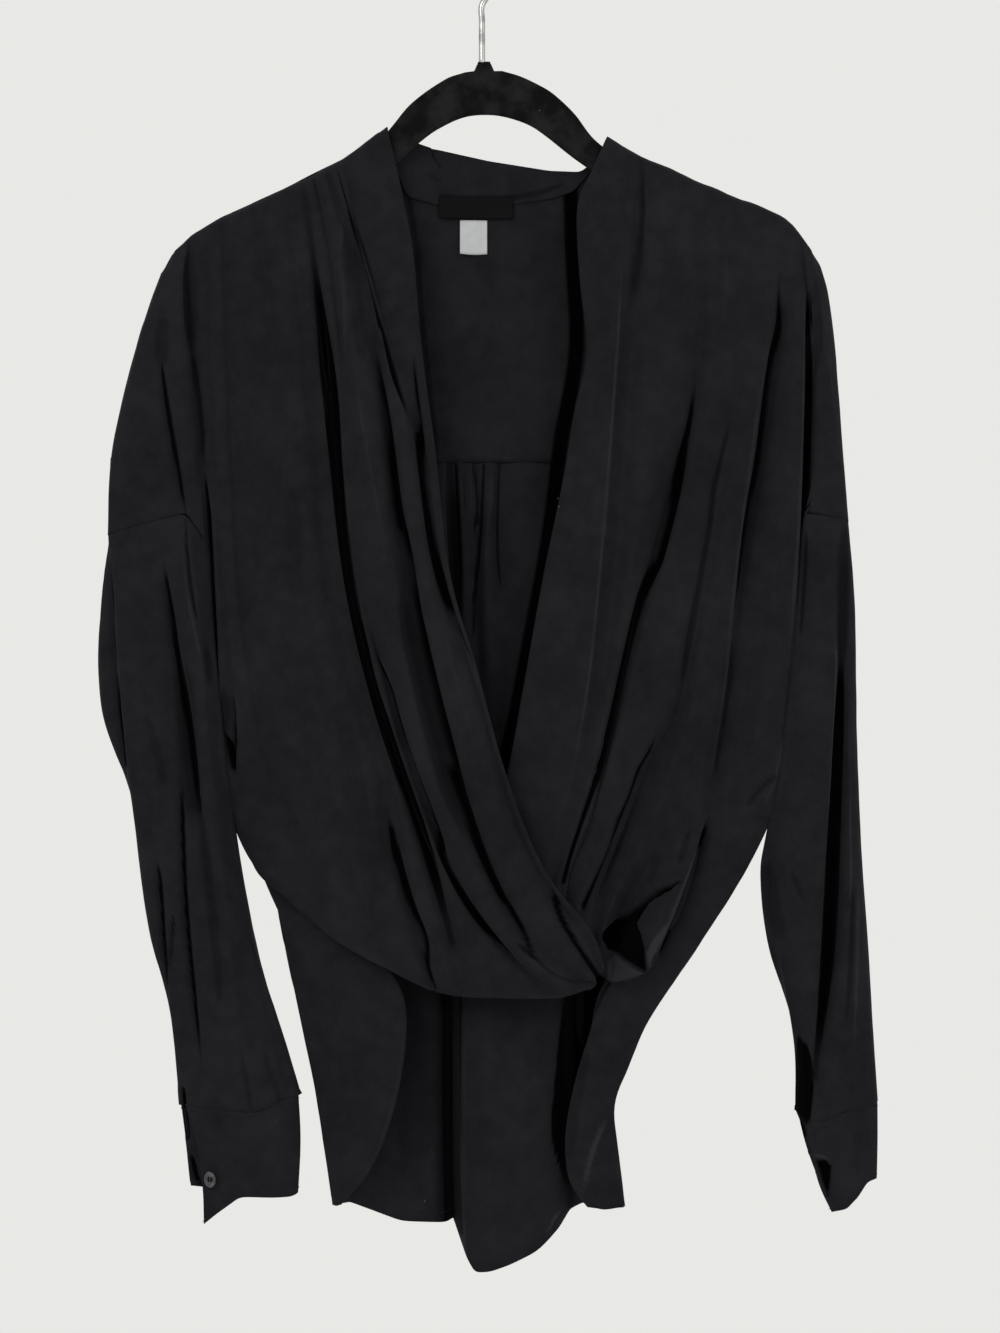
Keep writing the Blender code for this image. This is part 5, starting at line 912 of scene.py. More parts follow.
def thread_finish():
    """Black sewing thread, twisted."""
    thread = Finish("black_thread", roughness=0.8, sheen_weight=0.05, specular_ior_level=0.1)
    twist = thread.clouds(1900.0, 1.0)
    thread.feed(base_color=thread.blend(twist, THREAD_DARK, THREAD_LIGHT),
                normal=thread.relief(twist, 0.0001, 0.5))
    return thread.material


def floor_finish():
    floor = Finish("pale_floor", roughness=0.9)
    floor.feed(base_color=floor.blend(floor.clouds(2.0, 3.0), FLOOR_DARK, FLOOR_LIGHT))
    return floor.material


# ---------------------------------------------------------------- folds and columns

def mix(a, b, t):
    return a + (b - a) * t


def spline(points):
    """A smooth curve through points: its length and a function of the fraction along it."""
    knots = [0.0]
    for a, b in zip(points, points[1:]):
        knots.append(knots[-1] + math.dist(a, b))
    last = len(points) - 1
    tangents = []
    for i in range(last + 1):
        before, after = max(i - 1, 0), min(i + 1, last)
        span = knots[after] - knots[before]
        tangents.append([(q - p) / span for p, q in zip(points[before], points[after])])

    def at(fraction):
        s = fraction * knots[-1]
        i = 0
        while i < last - 1 and s > knots[i + 1]:
            i += 1
        span = knots[i + 1] - knots[i]
        t = (s - knots[i]) / span
        weights = (2 * t**3 - 3 * t**2 + 1, 3 * t**2 - 2 * t**3,
                   (t**3 - 2 * t**2 + t) * span, (t**3 - t**2) * span)
        ends = zip(points[i], points[i + 1], tangents[i], tangents[i + 1])
        return tuple(sum(w * v for w, v in zip(weights, values)) for values in ends)

    return knots[-1], at


def smoothed(points, spacing, at_least=1):
    """Evenly spaced points on the smooth curve through points."""
    length, at = spline(points)
    count = max(at_least, int(length / spacing))
    return [at(i / count) for i in range(count + 1)]


def turn_in(depth, distance, seam):
    """Rounds a sheet towards the plane where front and back meet, near its edge."""
    if abs(depth) <= seam:
        return depth
    rest = 1 - min(distance / SHOULDER_ROUND, 1)
    return math.copysign(mix(seam, abs(depth), math.sqrt(1 - rest * rest)), depth)


def fold_column(points, rows, over_shoulder=False):
    """The points down one fold at each row; over_shoulder rounds its top over the hanger.

    A row from 0 to 1 is a fraction of the fold, a row below 0 a distance from its top and one
    above 1 a distance from its end.
    """
    ends_on_side = abs(points[-1][2]) == SIDE_SEAM
    if ends_on_side:
        points = points[:-1] + ((*points[-1][:2], points[-2][2]),)
    length, at = spline(points)
    from_edge = abs(points[0][2]) <= EDGE_DEPTH
    shortest = CLOSE_ROWS * -min(rows) / min(row for row in rows if row > 0)
    column = []
    for row in rows:
        fraction = row
        if row < 0:
            fraction = 0 if from_edge else -row / max(length, shortest)
        elif row > 1:
            fraction = 1 - (row - 1) / length
        x, drop, depth = at(fraction)
        if over_shoulder and not from_edge:
            depth = turn_in(depth, fraction * length, SHOULDER_SEAM)
        if ends_on_side:
            depth = turn_in(depth, (1 - fraction) * length, SIDE_SEAM)
        column.append((x, drop, depth))
    return column


def even_rows(count):
    return [i / count for i in range(count + 1)]


def shoulder_rows(count, also_end=False):
    """Even rows with closer ones just below the shoulder line, and at the end where it turns too."""
    rows = [0.0] + [-d for d in TOP_ROWS]
    rows += [(i + FIRST_ROW) / (count + FIRST_ROW) for i in range(count)]
    return rows + [1 + d for d in reversed(TOP_ROWS) if also_end] + [1.0]


def steps_between(lines, spacing):
    """How many columns each gap between two lines takes."""
    widest = [max(map(math.dist, near, far)) for near, far in zip(lines, lines[1:])]
    return [max(1, round(wide / spacing)) for wide in widest]


def swell_at(swell, t):
    """Height of the bulge between two folds: a curve through its top, middle and end values."""
    top, middle, end = swell
    return top * (1 - t) * (1 - 2 * t) + 4 * middle * t * (1 - t) + end * t * (2 * t - 1)


def fill_between(lines, swells, facing, steps=None, over_shoulder=False):
    """The lines, and columns between them that bulge by their swells but close at a shoulder seam.

    facing is 1 where the lines run from -X to +X in front and -1 where they run the other way.
    """
    columns = []
    steps = steps or steps_between(lines, COLUMN_SPACING)
    for swell, near, far, count in zip(swells, lines, lines[1:], steps):
        for step in range(count):
            across = step / count
            column = []
            for i, (a, b) in enumerate(zip(near, far)):
                x, drop, depth = (mix(p, q, across) for p, q in zip(a, b))
                if swell and step:
                    wide = math.hypot(b[0] - a[0], b[2] - a[2]) or 1.0
                    bulge = facing * swell_at(swell, i / (len(near) - 1)) / wide
                    bulge *= 1 - abs(2 * across - 1) ** 3
                    if over_shoulder and i < len(SHOULDER_SWELL):
                        bulge *= SHOULDER_SWELL[i]
                    x += bulge * (b[2] - a[2])
                    depth -= bulge * (b[0] - a[0])
                column.append((x, drop, depth))
            columns.append(column)
    return columns + [lines[-1]]


def loft(folds, rows, facing, over_shoulder=False, last_line=None):
    """Columns of points across the folds (name, swell, points), and on to last_line."""
    lines = [fold_column(points, rows, over_shoulder) for *_, points in folds]
    if last_line:
        lines.append(last_line)
    return fill_between(lines, [swell for _, swell, _ in folds], facing, None, over_shoulder)


def row_line(folds, fraction, inset):
    """A line across a sheet at one fraction of its folds, moved down them by inset."""
    line = []
    for *_, points in folds:
        length, at = spline(points)
        line.append(at(min(max(fraction + inset / length, 0), 1)))
    return line


# ---------------------------------------------------------------- meshes

def to_world(point):
    x, drop, depth = point
    return Vector((x, depth, -drop)) * MM


def put(name, data):
    made = bpy.data.objects.new(name, data)
    bpy.context.scene.collection.objects.link(made)
    return made


def paint(mesh, finish):
    mesh.materials.clear()
    mesh.materials.append(finish)


def link(name, mesh, finish):
    paint(mesh, finish)
    return put(name, mesh)


def to_mesh(name, shape, smooth=True):
    """The mesh of a bmesh, which is freed."""
    mesh = bpy.data.meshes.new(name)
    shape.to_mesh(mesh)
    shape.free()
    if smooth:
        mesh.shade_smooth()
    return mesh


def evaluated(piece):
    graph = bpy.context.evaluated_depsgraph_get()
    return bpy.data.meshes.new_from_object(piece.evaluated_get(graph))


def baked(piece):
    """The piece's mesh with its modifiers applied, which are then removed."""
    mesh = evaluated(piece)
    piece.modifiers.clear()
    old = piece.data
    piece.data = mesh
    bpy.data.meshes.remove(old)
    mesh.name = piece.name
    return mesh


def thickened(piece, thick):
    """The piece's mesh as a sheet, whose outside stays where it was."""
    wall = piece.modifiers.new("thickness", "SOLIDIFY")
    wall.thickness = thick * MM
    wall.offset = -1.0
    mesh = baked(piece)
    mesh.shade_smooth()
    return mesh


def surface_of(piece):
    return BVHTree.FromObject(piece, bpy.context.evaluated_depsgraph_get())


def grid_mesh(name, grids, facing, closed=False):
    """One mesh from grids of columns; grids that share a row or column are welded."""
    shape = bmesh.new()
    for columns in grids:
        verts = [[shape.verts.new(to_world(point)) for point in column] for column in columns]
        pairs = list(zip(verts, verts[1:]))
        if closed:
            pairs.append((verts[-1], verts[0]))
        for near, far in pairs:
            for corners in zip(near, near[1:], far[1:], far):
                shape.faces.new(corners if facing > 0 else corners[::-1])
    bmesh.ops.remove_doubles(shape, verts=shape.verts, dist=WELD * MM)
    for vert in shape.verts:
        if vert.is_boundary and abs(vert.co.y) < SEAM_NEAR * MM:
            vert.co.y = math.copysign(SEAM_MEET * MM, vert.co.y)
    return to_mesh(name, shape)


def add_tube(shape, path, radius, sides, up, domed=False):
    """Adds a tube along a path to a bmesh, with flat or domed ends; up is never along the path."""
    last = len(path) - 1
    rings = []
    for i, point in enumerate(path):
        run = path[min(i + 1, last)] - path[max(i - 1, 0)]
        across = run.cross(up).normalized()
        rings.append((point, across, run.cross(across).normalized(), radius))
    if domed:
        domes = []
        for end, beside in ((0, 1), (last, last - 1)):
            out = (path[end] - path[beside]).normalized() * radius
            angles = [math.radians(d) for d in (25, 50, 70, 85)]
            domes.append([(path[end] + out * math.sin(a), *rings[end][1:3], radius * math.cos(a))
                          for a in angles])
        rings = domes[0][::-1] + rings + domes[1]
    loops = []
    for point, across, other, size in rings:
        turns = [math.tau * k / sides for k in range(sides)]
        offsets = [across * math.cos(a) + other * math.sin(a) for a in turns]
        loops.append([shape.verts.new(point + offset * size) for offset in offsets])
    for near, far in zip(loops, loops[1:]):
        for k in range(sides):
            shape.faces.new((near[k - 1], near[k], far[k], far[k - 1]))
    shape.faces.new(loops[0][::-1])
    shape.faces.new(loops[-1])
    bmesh.ops.recalc_face_normals(shape, faces=shape.faces)


# ---------------------------------------------------------------- creases

def ease(t):
    """0 to 1 with soft ends, held outside them."""
    t = np.clip(t, 0, 1)
    return t * t * (3 - 2 * t)


def from_line(places, a, b):
    """From the line between a and b to each place: how far, where along it, and the offset from a."""
    run, rel = b - a, places - a
    t = np.clip(rel @ run / (run @ run), 0, 1)
    return np.linalg.norm(rel - t[:, None] * run, axis=1), t, rel


def stroke_distance(points, places):
    """How far each place (x, drop) is from a smooth stroke, how far along it, and on which side."""
    line = np.array(smoothed(points, STROKE_STEP, 6))
    best = np.full(len(places), np.inf)
    along = np.zeros(len(places))
    side = np.ones(len(places))
    for i, (a, b) in enumerate(zip(line, line[1:])):
        apart, t, rel = from_line(places, a, b)
        closer = apart < best
        best[closer] = apart[closer]
        along[closer] = (i + t[closer]) / (len(line) - 1)
        side[closer] = np.sign((b - a)[1] * rel[:, 0] - (b - a)[0] * rel[:, 1])[closer]
    return best, along, side


def reach_inside(corners, places):
    """How far each place (x, drop) is inside a polygon; negative outside it."""
    ends = np.array(corners, float)
    inside = np.zeros(len(places), bool)
    nearest = np.full(len(places), np.inf)
    for a, b in zip(ends, np.roll(ends, -1, axis=0)):
        apart, _, rel = from_line(places, a, b)
        nearest = np.minimum(nearest, apart)
        spans = (a[1] > places[:, 1]) != (b[1] > places[:, 1])
        inside ^= spans & (rel[:, 0] < (b - a)[0] * rel[:, 1] / ((b - a)[1] or 1))
    return np.where(inside, nearest, -nearest)


def press_creases(co, towards, creases, sheet):
    """How far the creases push each point of a sheet along its normal, and their painted shade and
    highlight there.

    towards is how far each point faces the side that they are seen from. A crease is (name, depth,
    width, lean, tone, (start, end), points of (x, drop)). A negative depth raises a ridge. lean is
    the side, in x, on which the trough runs out gently instead of steeply. tone is how dark the
    painted shade in it is, and a negative one how light the painted highlight on it is, which also
    stands for nap flattened by rubbing. start and end are the shares of depth and width that are
    left at the stroke's ends. A patch of the sheet is pressed in by its depth, its edge is softness
    wide, and its tone paints shade or a highlight in the same way.
    """
    places = np.stack([co[:, 0], -co[:, 2]], axis=1) / MM
    push, shade, highlight_and_rub = np.zeros((3, len(co)))
    for _, depth, width, lean, tone, (start, end), points in creases:
        apart, along, side = stroke_distance(points, places)
        size = np.minimum(mix(start, 1, ease(along / TAPER)), mix(end, 1, ease((1 - along) / TAPER)))
        apart /= width * mix(THINNEST, 1, size)
        gentle = (side * lean > 0) * 1.0
        reach = apart / (1 + GENTLE_REACH * gentle)
        trough = np.exp(0.35 - np.sqrt(reach**2 + 0.12))    # 1 in the middle
        core = 1 - ease(apart - CORE_EDGE)
        push -= depth * size * trough
        if depth > 0:
            ridge = np.exp(-((apart - RIDGE_AT) / RIDGE_SPREAD)**2) * (1 - gentle)
            push += depth * size * ridge * RIDGE_SHARE
        # a positive tone paints shade into the crease, a negative one paints a highlight along it
        if tone > 0:
            dark = np.maximum(core, GENTLE_SHADE * np.exp(-(reach / 1.1)**2) * gentle)
            shade = np.maximum(shade, tone * ease(size * 1.6) * dark)
        else:
            highlight_and_rub = np.maximum(highlight_and_rub, -tone * size * core)
    for _, on, depth, softness, tone, corners in PATCHES:
        if on == sheet:
            share = ease(0.5 + reach_inside(corners, places) / softness)
            push -= depth * share
            if tone > 0:
                shade = np.maximum(shade, tone * share)
            else:
                highlight_and_rub = np.maximum(highlight_and_rub, -tone * share)
                shade = shade * (1 - share)
    # painted shade where positive, painted highlight where negative
    tones = np.where(shade > LEAST_SHADE, shade, -highlight_and_rub)
    seen = towards * FACING_GAIN
    return push * np.clip(seen, 0, 1), tones * np.clip(seen + 1.5, 0, 1)


def vectors(values, kind, count):
    flat = np.empty(count * 3)
    values.foreach_get(kind, flat)
    return flat.reshape(-1, 3)


def cloth_piece(name, grids, facing, finish, creases=(), inner_creases=(), behind_creases=(),
                closed=False):
    """A sheet of cloth: lofted grids, smoothed, creased and given its thickness.

    creases are pressed into its outside where that faces the front, behind_creases where it faces
    the back, and inner_creases show on its inside. Between them the cloth ripples a little. Their
    painted shade and highlights go into an attribute that the finish reads.
    """
    seed, ripple, thick, flat, area, held, rests_on = SHEETS[name]
    piece = link(name + "_cloth", grid_mesh(name + "_cloth", grids, facing, closed), finish)
    smooth = piece.modifiers.new("smooth", "SUBSURF")
    smooth.levels = smooth.render_levels = SMOOTHING
    smooth.boundary_smooth = "PRESERVE_CORNERS"
    mesh = baked(piece)
    count = len(mesh.vertices)
    co = vectors(mesh.vertices, "co", count)
    normal = vectors(mesh.vertex_normals, "vector", count)
    back = normal[:, 1]
    push, outside = press_creases(co, -back, creases, "cuff" if "cuff" in name else name)
    behind, outside_behind = press_creases(co, back, behind_creases, "behind")
    inner, inside = press_creases(co, back, inner_creases, "inside")
    push += behind + inner
    outside = np.where(outside_behind != 0, outside_behind, outside)
    for i, (x, _, z) in enumerate(co / MM):
        for across, down, shift, share in RIPPLES:
            push[i] += ripple * share * noise.noise(Vector((x * across, -z * down, seed + shift)))
    co += normal * (push * MM)[:, None]
    mesh.vertices.foreach_set("co", co.ravel())
    mesh.update()
    mesh = thickened(piece, thick)
    # painted shade and highlights of the creases, for the outside and the inside layer
    tones = np.zeros(len(mesh.vertices))
    tones[:2 * count] = np.concatenate([outside, inside])
    layer = mesh.attributes.new(FOLD_PAINTED_LIGHT, "FLOAT", "POINT")
    layer.data.foreach_set("value", tones)
    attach(piece, "root")
    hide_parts(name)
    return piece


# ---------------------------------------------------------------- garment

def make_fronts(finish):
    rows = shoulder_rows(FRONT_ROWS, also_end=True)
    corner = rows[ARM_CORNER]
    upper = [row if row < 0 else row / corner for row in rows[:ARM_CORNER + 1]]
    lower = [row if row > 1 else (row - corner) / (1 - corner) for row in rows[ARM_CORNER:]]

    def arm_and_seam(arm_folds, side_seam, facing):
        """The sleeve cap's columns, and the line of the armhole and side seam."""
        cap = loft(arm_folds, upper, facing, over_shoulder=True)
        return cap, cap[0] + fold_column(side_seam, lower)[1:]

    cap, seam = arm_and_seam(RIGHT_ARM_FOLDS, RIGHT_SIDE_SEAM, -1)
    drape = loft(RIGHT_FRONT_FOLDS, rows, -1, over_shoulder=True, last_line=seam)
    cloth_piece("right_front", [drape, cap], -1, finish, RIGHT_FRONT_CREASES)

    cap, seam = arm_and_seam(LEFT_ARM_FOLDS, LEFT_SIDE_SEAM, 1)
    *_, last_fold = LEFT_FRONT_FOLDS[-1]
    length, _ = spline(last_fold)
    main_rows = [row if row < 0 else row * LOOP_START for row in rows if row <= 1]
    main_rows[-1:-1] = [LOOP_START - d / length for d in reversed(TOP_ROWS)]
    loop_rows = [mix(LOOP_START, 1, row) for row in even_rows(LOOP_ROWS)[1:]]
    drape = loft(LEFT_FRONT_FOLDS, main_rows + loop_rows, 1, over_shoulder=True)
    side_lines = [fold_column(last_fold, main_rows, True)]
    side_lines += [fold_column(points, rows, True) for *_, points in LEFT_SIDE_FOLDS] + [seam]
    tail_rows = even_rows(SIDE_TAIL_ROWS)
    side_lines = [line + fold_column(points, tail_rows)[1:]
                  for line, (*_, points) in zip(side_lines, SIDE_TAIL_FOLDS)]
    side = fill_between(side_lines, [swell for _, swell, _ in SIDE_TAIL_FOLDS], 1, over_shoulder=True)
    cloth_piece("left_front", [drape, side, cap], 1, finish, LEFT_FRONT_CREASES)


def make_back(finish):
    """The yoke, and the gathered panel below it.

    The panel is two grids, above and below the armpits, that share their columns where they meet.
    """
    rows = shoulder_rows(YOKE_ROWS)
    lines = [fold_column(points, rows, start == "shoulder") for _, start, points in YOKE_FOLDS]
    plain = [None] * len(lines)
    columns = fill_between(lines, plain, -1, steps_between(lines, BACK_SPACING))
    yoke = cloth_piece("back_yoke", [columns], -1, finish, (), INNER_CREASES)

    top = [fold_column(points, even_rows(BACK_TOP_ROWS)) for *_, points in BACK_TOP_FOLDS]
    tail = [fold_column(points, even_rows(BACK_TAIL_ROWS)) for *_, points in BACK_TAIL_FOLDS]
    top_steps = steps_between(top, BACK_SPACING)
    tail_steps = steps_between(tail, BACK_SPACING)
    armpit = [line[-1] for line in top].index(tail[0][0])
    for i, steps in enumerate(tail_steps):
        tail_steps[i] = top_steps[armpit + i] = max(steps, top_steps[armpit + i])
    grids = [fill_between(lines, [None] * len(lines), -1, steps)
             for lines, steps in ((top, top_steps), (tail, tail_steps))]
    panel = cloth_piece("back_panel", grids, -1, finish, FLAP_CREASES, INNER_CREASES, BACK_CREASES)
    return yoke, panel


def make_neckband(finish):
    band = loft(NECKBAND_FOLDS, even_rows(NECKBAND_ROWS), -1)
    return cloth_piece("neckband", [band], -1, finish, (), NECKBAND_CREASES)


def make_sleeve(name, folds, facing, creases, finish, lap):
    """A sleeve, whose end laps over the cuff."""
    tube = loft(folds + folds[:1], even_rows(SLEEVE_ROWS), facing)[:-1]
    for column in tube:
        x, drop, depth = column[-1]
        column[-1] = (x, drop + lap, depth)
    cloth_piece(name, [tube], facing, finish, creases, closed=True)


def make_cuff(name, folds, finish, rise):
    """A cuff, whose top rises into the sleeve."""
    band = loft(folds, even_rows(CUFF_ROWS), 1)
    raised = [[(x, drop - rise * (1 - i / CUFF_ROWS), depth)
               for i, (x, drop, depth) in enumerate(column)] for column in band]
    return cloth_piece(name, [raised], 1, finish, CUFF_CREASES)


def make_button(name, place, turn, finish, thread):
    """A turned button with a rim, a dished face and four sewn holes."""
    shape = bmesh.new()
    verts = [shape.verts.new((r * BUTTON_RADIUS, d * BUTTON_THICK / 2, 0)) for r, d in BUTTON_PROFILE]
    edges = [shape.edges.new(pair) for pair in zip(verts, verts[1:])]
    bmesh.ops.spin(shape, geom=verts + edges, cent=(0, 0, 0), axis=(0, 1, 0), angle=math.tau,
                   steps=40, use_merge=True, use_duplicate=False)
    bmesh.ops.remove_doubles(shape, verts=shape.verts, dist=0.01)
    bmesh.ops.recalc_face_normals(shape, faces=shape.faces)
    button = link(name + "_disc", to_mesh(name + "_disc", shape), finish)

    drill = bmesh.new()
    upright = Matrix.Rotation(math.radians(90), 4, "X")
    for x in (-HOLE_AT, HOLE_AT):
        for z in (-HOLE_AT, HOLE_AT):
            bmesh.ops.create_cone(drill, cap_ends=True, segments=12, radius1=HOLE_RADIUS, depth=6,
                                  radius2=HOLE_RADIUS, matrix=Matrix.Translation((x, 0, z)) @ upright)
    bmesh.ops.recalc_face_normals(drill, faces=drill.faces)
    cutter = link("drill", to_mesh("holes", drill, smooth=False), finish)
    cut = button.modifiers.new("holes", "BOOLEAN")
    cut.operation = "DIFFERENCE"
    cut.object = cutter
    bpy.context.view_layer.update()
    paint(baked(button), finish)
    bpy.data.objects.remove(cutter, do_unlink=True)

    sewn = bmesh.new()
    for x in (-HOLE_AT, HOLE_AT):
        path = [Vector((x, depth, z)) for depth, z in THREAD_PATH]
        add_tube(sewn, path, BUTTON_THREAD, 8, Vector((1, 0.02, 0.3)))
    stitched = link(name + "_thread", to_mesh(name + "_thread", sewn), thread)
    turned = Matrix.Translation(to_world(place)) @ Matrix.Rotation(math.radians(-turn), 4, "Z")
    for piece, slot in ((button, "button_plastic"), (stitched, "cloth")):
        piece.data.transform(turned @ Matrix.Scale(MM, 4))
        piece.data.update()
        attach(piece, "root")
    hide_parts(name)


def make_label(name, node, slot, place, size, lift, sag, behind, finish):
    """A small ribbon sewn on by its top edge, lying on the inside of the back."""
    trees = [surface_of(piece) for piece in behind]
    middle, top = place
    wide, high = size
    grid = []
    for across in even_rows(LABEL_COLUMNS):
        x = middle + wide * (across - 0.5)
        drops = [top + high * down for down in even_rows(LABEL_ROWS)]
        hits = [tree.ray_cast(to_world((x, drop, 0.0)), Vector((0, 1, 0)))[0]
                for tree in trees for drop in drops]
        nearest = min(hit.y for hit in hits if hit) / MM - lift
        grid.append([(x, drop + sag * math.sin(math.pi * across) * r / LABEL_ROWS,
                      nearest - LABEL_CURL * math.sin(3.1 * across + r / 5))
                     for r, drop in enumerate(drops)])
    piece = link(name, grid_mesh(name, [grid], 1), finish)
    thickened(piece, LABEL_THICK)
    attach(piece, "root")
    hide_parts(node)
    wide * MM
    high * MM


# ---------------------------------------------------------------- stitches

def stitch_tree():
    """Geometry nodes: short thread capsules along the edges of a line mesh."""
    tree = bpy.data.node_groups.new("stitches", "GeometryNodeTree")
    tree.interface.new_socket("Line", in_out="INPUT", socket_type="NodeSocketGeometry")
    for label, value in STITCH_SIZES:
        socket = tree.interface.new_socket(label, in_out="INPUT", socket_type="NodeSocketFloat")
        socket.default_value = value
    tree.interface.new_socket("Thread", in_out="INPUT", socket_type="NodeSocketMaterial")
    tree.interface.new_socket("Stitches", in_out="OUTPUT", socket_type="NodeSocketGeometry")

    start, end, turn = (tree.nodes.new(kind) for kind in (
        "NodeGroupInput", "NodeGroupOutput", "FunctionNodeAlignRotationToVector"))
    curve, points, capsule, place, real, painted = (tree.nodes.new("GeometryNode" + kind) for kind in (
        "MeshToCurve", "CurveToPoints", "MeshCylinder", "InstanceOnPoints", "RealizeInstances",
        "SetMaterial"))
    points.mode = "LENGTH"
    turn.axis = "Z"
    capsule.inputs["Vertices"].default_value = 6
    for a, out, b, into in (
            (start, "Line", curve, "Mesh"), (curve, "Curve", points, "Curve"),
            (start, "Pitch", points, "Length"), (points, "Points", place, "Points"),
            (points, "Tangent", turn, "Vector"), (turn, "Rotation", place, "Rotation"),
            (start, "Thread radius", capsule, "Radius"), (start, "Stitch length", capsule, "Depth"),
            (capsule, "Mesh", place, "Instance"), (place, "Instances", real, "Geometry"),
            (real, "Geometry", painted, "Geometry"), (start, "Thread", painted, "Material"),
            (painted, "Geometry", end, "Stitches")):
        tree.links.new(a.outputs[out], b.inputs[into])
    return tree


def sew(name, carrier, lines, tree, thread):
    """Rows of stitches on a piece, along lines of (x, drop, depth) laid on its surface."""
    surface = surface_of(carrier)
    shape = bmesh.new()
    for line in lines:
        verts = []
        for point in smoothed(line, STITCH_LINE_STEP, 4):
            hit, normal, _, _ = surface.find_nearest(to_world(point))
            verts.append(shape.verts.new(hit + normal * STITCH_LIFT * MM))
        for pair in zip(verts, verts[1:]):
            shape.edges.new(pair)
    rows = link(name, to_mesh(name, shape, smooth=False), thread)
    maker = rows.modifiers.new("stitches", "NODES")
    maker.node_group = tree
    for socket in tree.interface.items_tree:
        if socket.in_out == "INPUT" and socket.name == "Thread":
            maker[socket.identifier] = thread
    paint(baked(rows), thread)
    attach(rows, "root")


# ---------------------------------------------------------------- hanger

def hanger_outline():
    """The upper edge with the nub that holds the hook, then the lower edge."""
    half_base, half_top = NUB_BASE_WIDTH / 2, NUB_TOP_WIDTH / 2
    nub = [(NUB_MIDDLE - half_base, NUB_BASE_DROP), (NUB_MIDDLE - half_top, NUB_TOP_DROP),
           (NUB_MIDDLE + half_top, NUB_TOP_DROP), (NUB_MIDDLE + half_base, NUB_BASE_DROP)]
    before = [point for point in HANGER_TOP_EDGE if point[0] < nub[0][0]]
    after = [point for point in HANGER_TOP_EDGE if point[0] > nub[-1][0]]
    return (smoothed(before, HANGER_STEP) + nub + smoothed(after, HANGER_STEP)
            + smoothed(HANGER_LOW_EDGE, HANGER_STEP))


def hook_route():
    """Up the shank, out to the wearer's left, then round the rod over the top."""
    middle = HOOK_RADIUS - HOOK_WIRE / 2
    route = [(0, NUB_TOP_DROP, 0), (0, HOOK_NECK_DROP + HOOK_NECK, 0), (0.3, HOOK_NECK_DROP, 0)]
    for share in even_rows(HOOK_STEPS):
        angle = math.radians(mix(HOOK_START_ANGLE, HOOK_END_ANGLE, share))
        route.append((HOOK_RADIUS * math.cos(angle), middle - HOOK_RADIUS * math.sin(angle), 0))
    return route


def make_hanger(velvet, wire):
    outline = bpy.data.curves.new("hanger_arms", "CURVE")
    outline.dimensions = "2D"
    outline.fill_mode = "BOTH"
    outline.extrude = (HANGER_THICK / 2 - HANGER_BEVEL) * MM
    outline.bevel_depth = HANGER_BEVEL * MM
    outline.bevel_resolution = 5
    outline.offset = -HANGER_BEVEL * MM
    points = hanger_outline()
    line = outline.splines.new("POLY")
    line.points.add(len(points) - 1)
    for target, (x, drop) in zip(line.points, points):
        target.co = (x * MM, -drop * MM, 0, 1)
    line.use_cyclic_u = True
    drawn = put("outline", outline)
    bpy.context.view_layer.update()
    mesh = evaluated(drawn)
    bpy.data.objects.remove(drawn, do_unlink=True)
    for vert in mesh.vertices:
        x, y, z = vert.co
        vert.co = (x, -z, y)
    mesh.update()
    mesh.shade_smooth()
    arms = link("hanger_arms", mesh, velvet)

    shape = bmesh.new()
    route = [to_world(point) for point in smoothed(hook_route(), HOOK_STEP)]
    add_tube(shape, route, HOOK_WIRE / 2 * MM, 20, Vector((0, 1, 0)), domed=True)
    hook = link("hook_wire", to_mesh("hook_wire", shape), wire)
    for piece, node, slot in ((arms, "hanger_body", "velvet"), (hook, "hanger_hook", "steel_wire")):
        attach(piece, "root")
        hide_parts(node)


# ---------------------------------------------------------------- stage

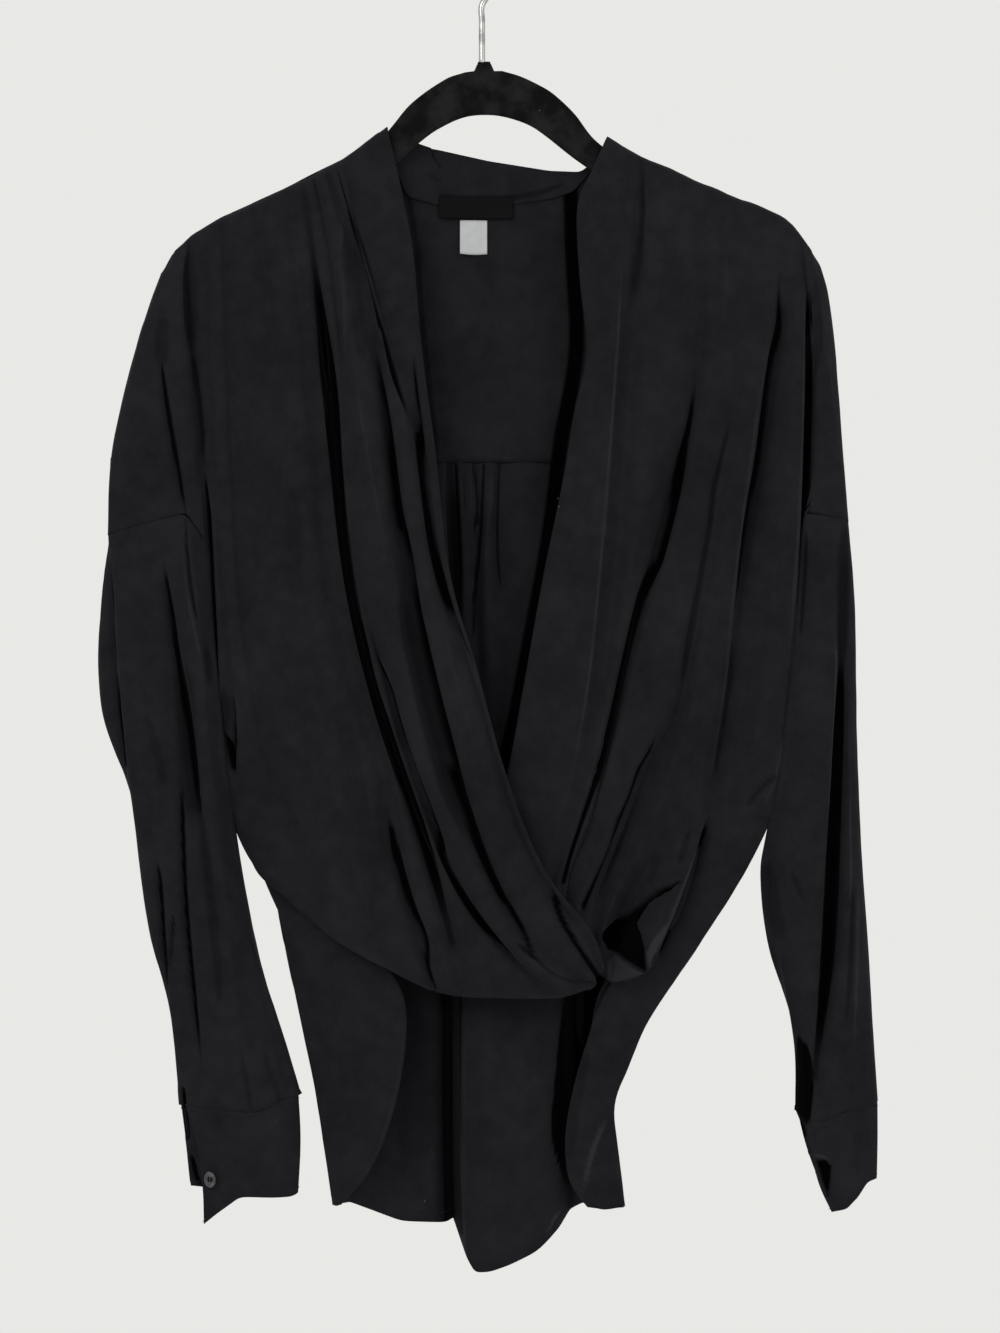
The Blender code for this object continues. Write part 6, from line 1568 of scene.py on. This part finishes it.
def make_stage():
    scene = bpy.context.scene
    scene.view_settings.view_transform = "Standard"
    floor = bpy.data.meshes.new("floor")
    corners = ((-1, -1), (1, -1), (1, 1), (-1, 1))
    floor.from_pydata([(x * FLOOR_HALF, y * FLOOR_HALF, FLOOR_Z) for x, y in corners], [],
                      [(0, 1, 2, 3)])
    link("floor", floor, floor_finish())

    scene.world = bpy.data.worlds.new("studio")
    scene.world.use_nodes = True
    backdrop = scene.world.node_tree.nodes["Background"]
    backdrop.inputs["Color"].default_value = (*STUDIO_COLOR, 1.0)
    backdrop.inputs["Strength"].default_value = STUDIO_STRENGTH

    x, z = VIEW_MIDDLE
    for name, place, size, power in STUDIO_LIGHTS:
        lamp = bpy.data.lights.new(name, "AREA")
        lamp.shape = "RECTANGLE"
        lamp.size, lamp.size_y = size
        lamp.energy = power
        holder = put(name, lamp)
        holder.location = place
        aim = Vector((x, 0, z)) - Vector(place)
        holder.rotation_euler = aim.to_track_quat("-Z", "Y").to_euler()

    lens = bpy.data.cameras.new("camera")
    lens.lens = lens.sensor_width * VIEW_DISTANCE / VIEW_HEIGHT
    scene.camera = put("camera", lens)
    scene.camera.location = (x, CLOTH_DEPTH - VIEW_DISTANCE, z)
    scene.camera.rotation_euler = (math.radians(90), 0, 0)


def main():
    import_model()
    crepe = crepe_finish()
    thread = thread_finish()
    button = button_finish()
    make_hanger(velvet_finish(), wire_finish())
    make_fronts(crepe)
    yoke, panel = make_back(crepe)
    neckband = make_neckband(crepe)
    make_sleeve("right_sleeve", RIGHT_SLEEVE_FOLDS, 1, RIGHT_SLEEVE_CREASES, crepe, RIGHT_LAP)
    make_sleeve("left_sleeve", LEFT_SLEEVE_FOLDS, -1, LEFT_SLEEVE_CREASES, crepe, LEFT_LAP)
    right_cuff = make_cuff("right_cuff", RIGHT_CUFF_FOLDS, crepe, RIGHT_RISE)
    left_cuff = make_cuff("left_cuff", LEFT_CUFF_FOLDS, crepe, LEFT_RISE)
    for name, place, turn in BUTTONS:
        make_button(name, place, turn, button, thread)
    satin = woven_finish("black_satin", 700.0, SATIN_DARK, SATIN_LIGHT, 0.55, 0.05)
    tape = woven_finish("grey_tape", 600.0, TAPE_DARK, TAPE_LIGHT, 0.7, 0.3)
    label, tag = LABELS
    make_label(*label, (yoke, neckband), satin)
    make_label(*tag, (yoke,), tape)

    tree = stitch_tree()
    for name, piece, folds, rows in (
            ("right_cuff", right_cuff, RIGHT_CUFF_FOLDS, CUFF_STITCHES),
            ("left_cuff", left_cuff, LEFT_CUFF_FOLDS, CUFF_STITCHES),
            ("hem", panel, BACK_TAIL_FOLDS, [HEM_STITCHES]),
            ("yoke", yoke, YOKE_FOLDS[YOKE_STITCHED], [YOKE_STITCHES])):
        sew(name + "_stitches", piece, [row_line(folds, *row) for row in rows], tree, thread)
    make_stage()


main()
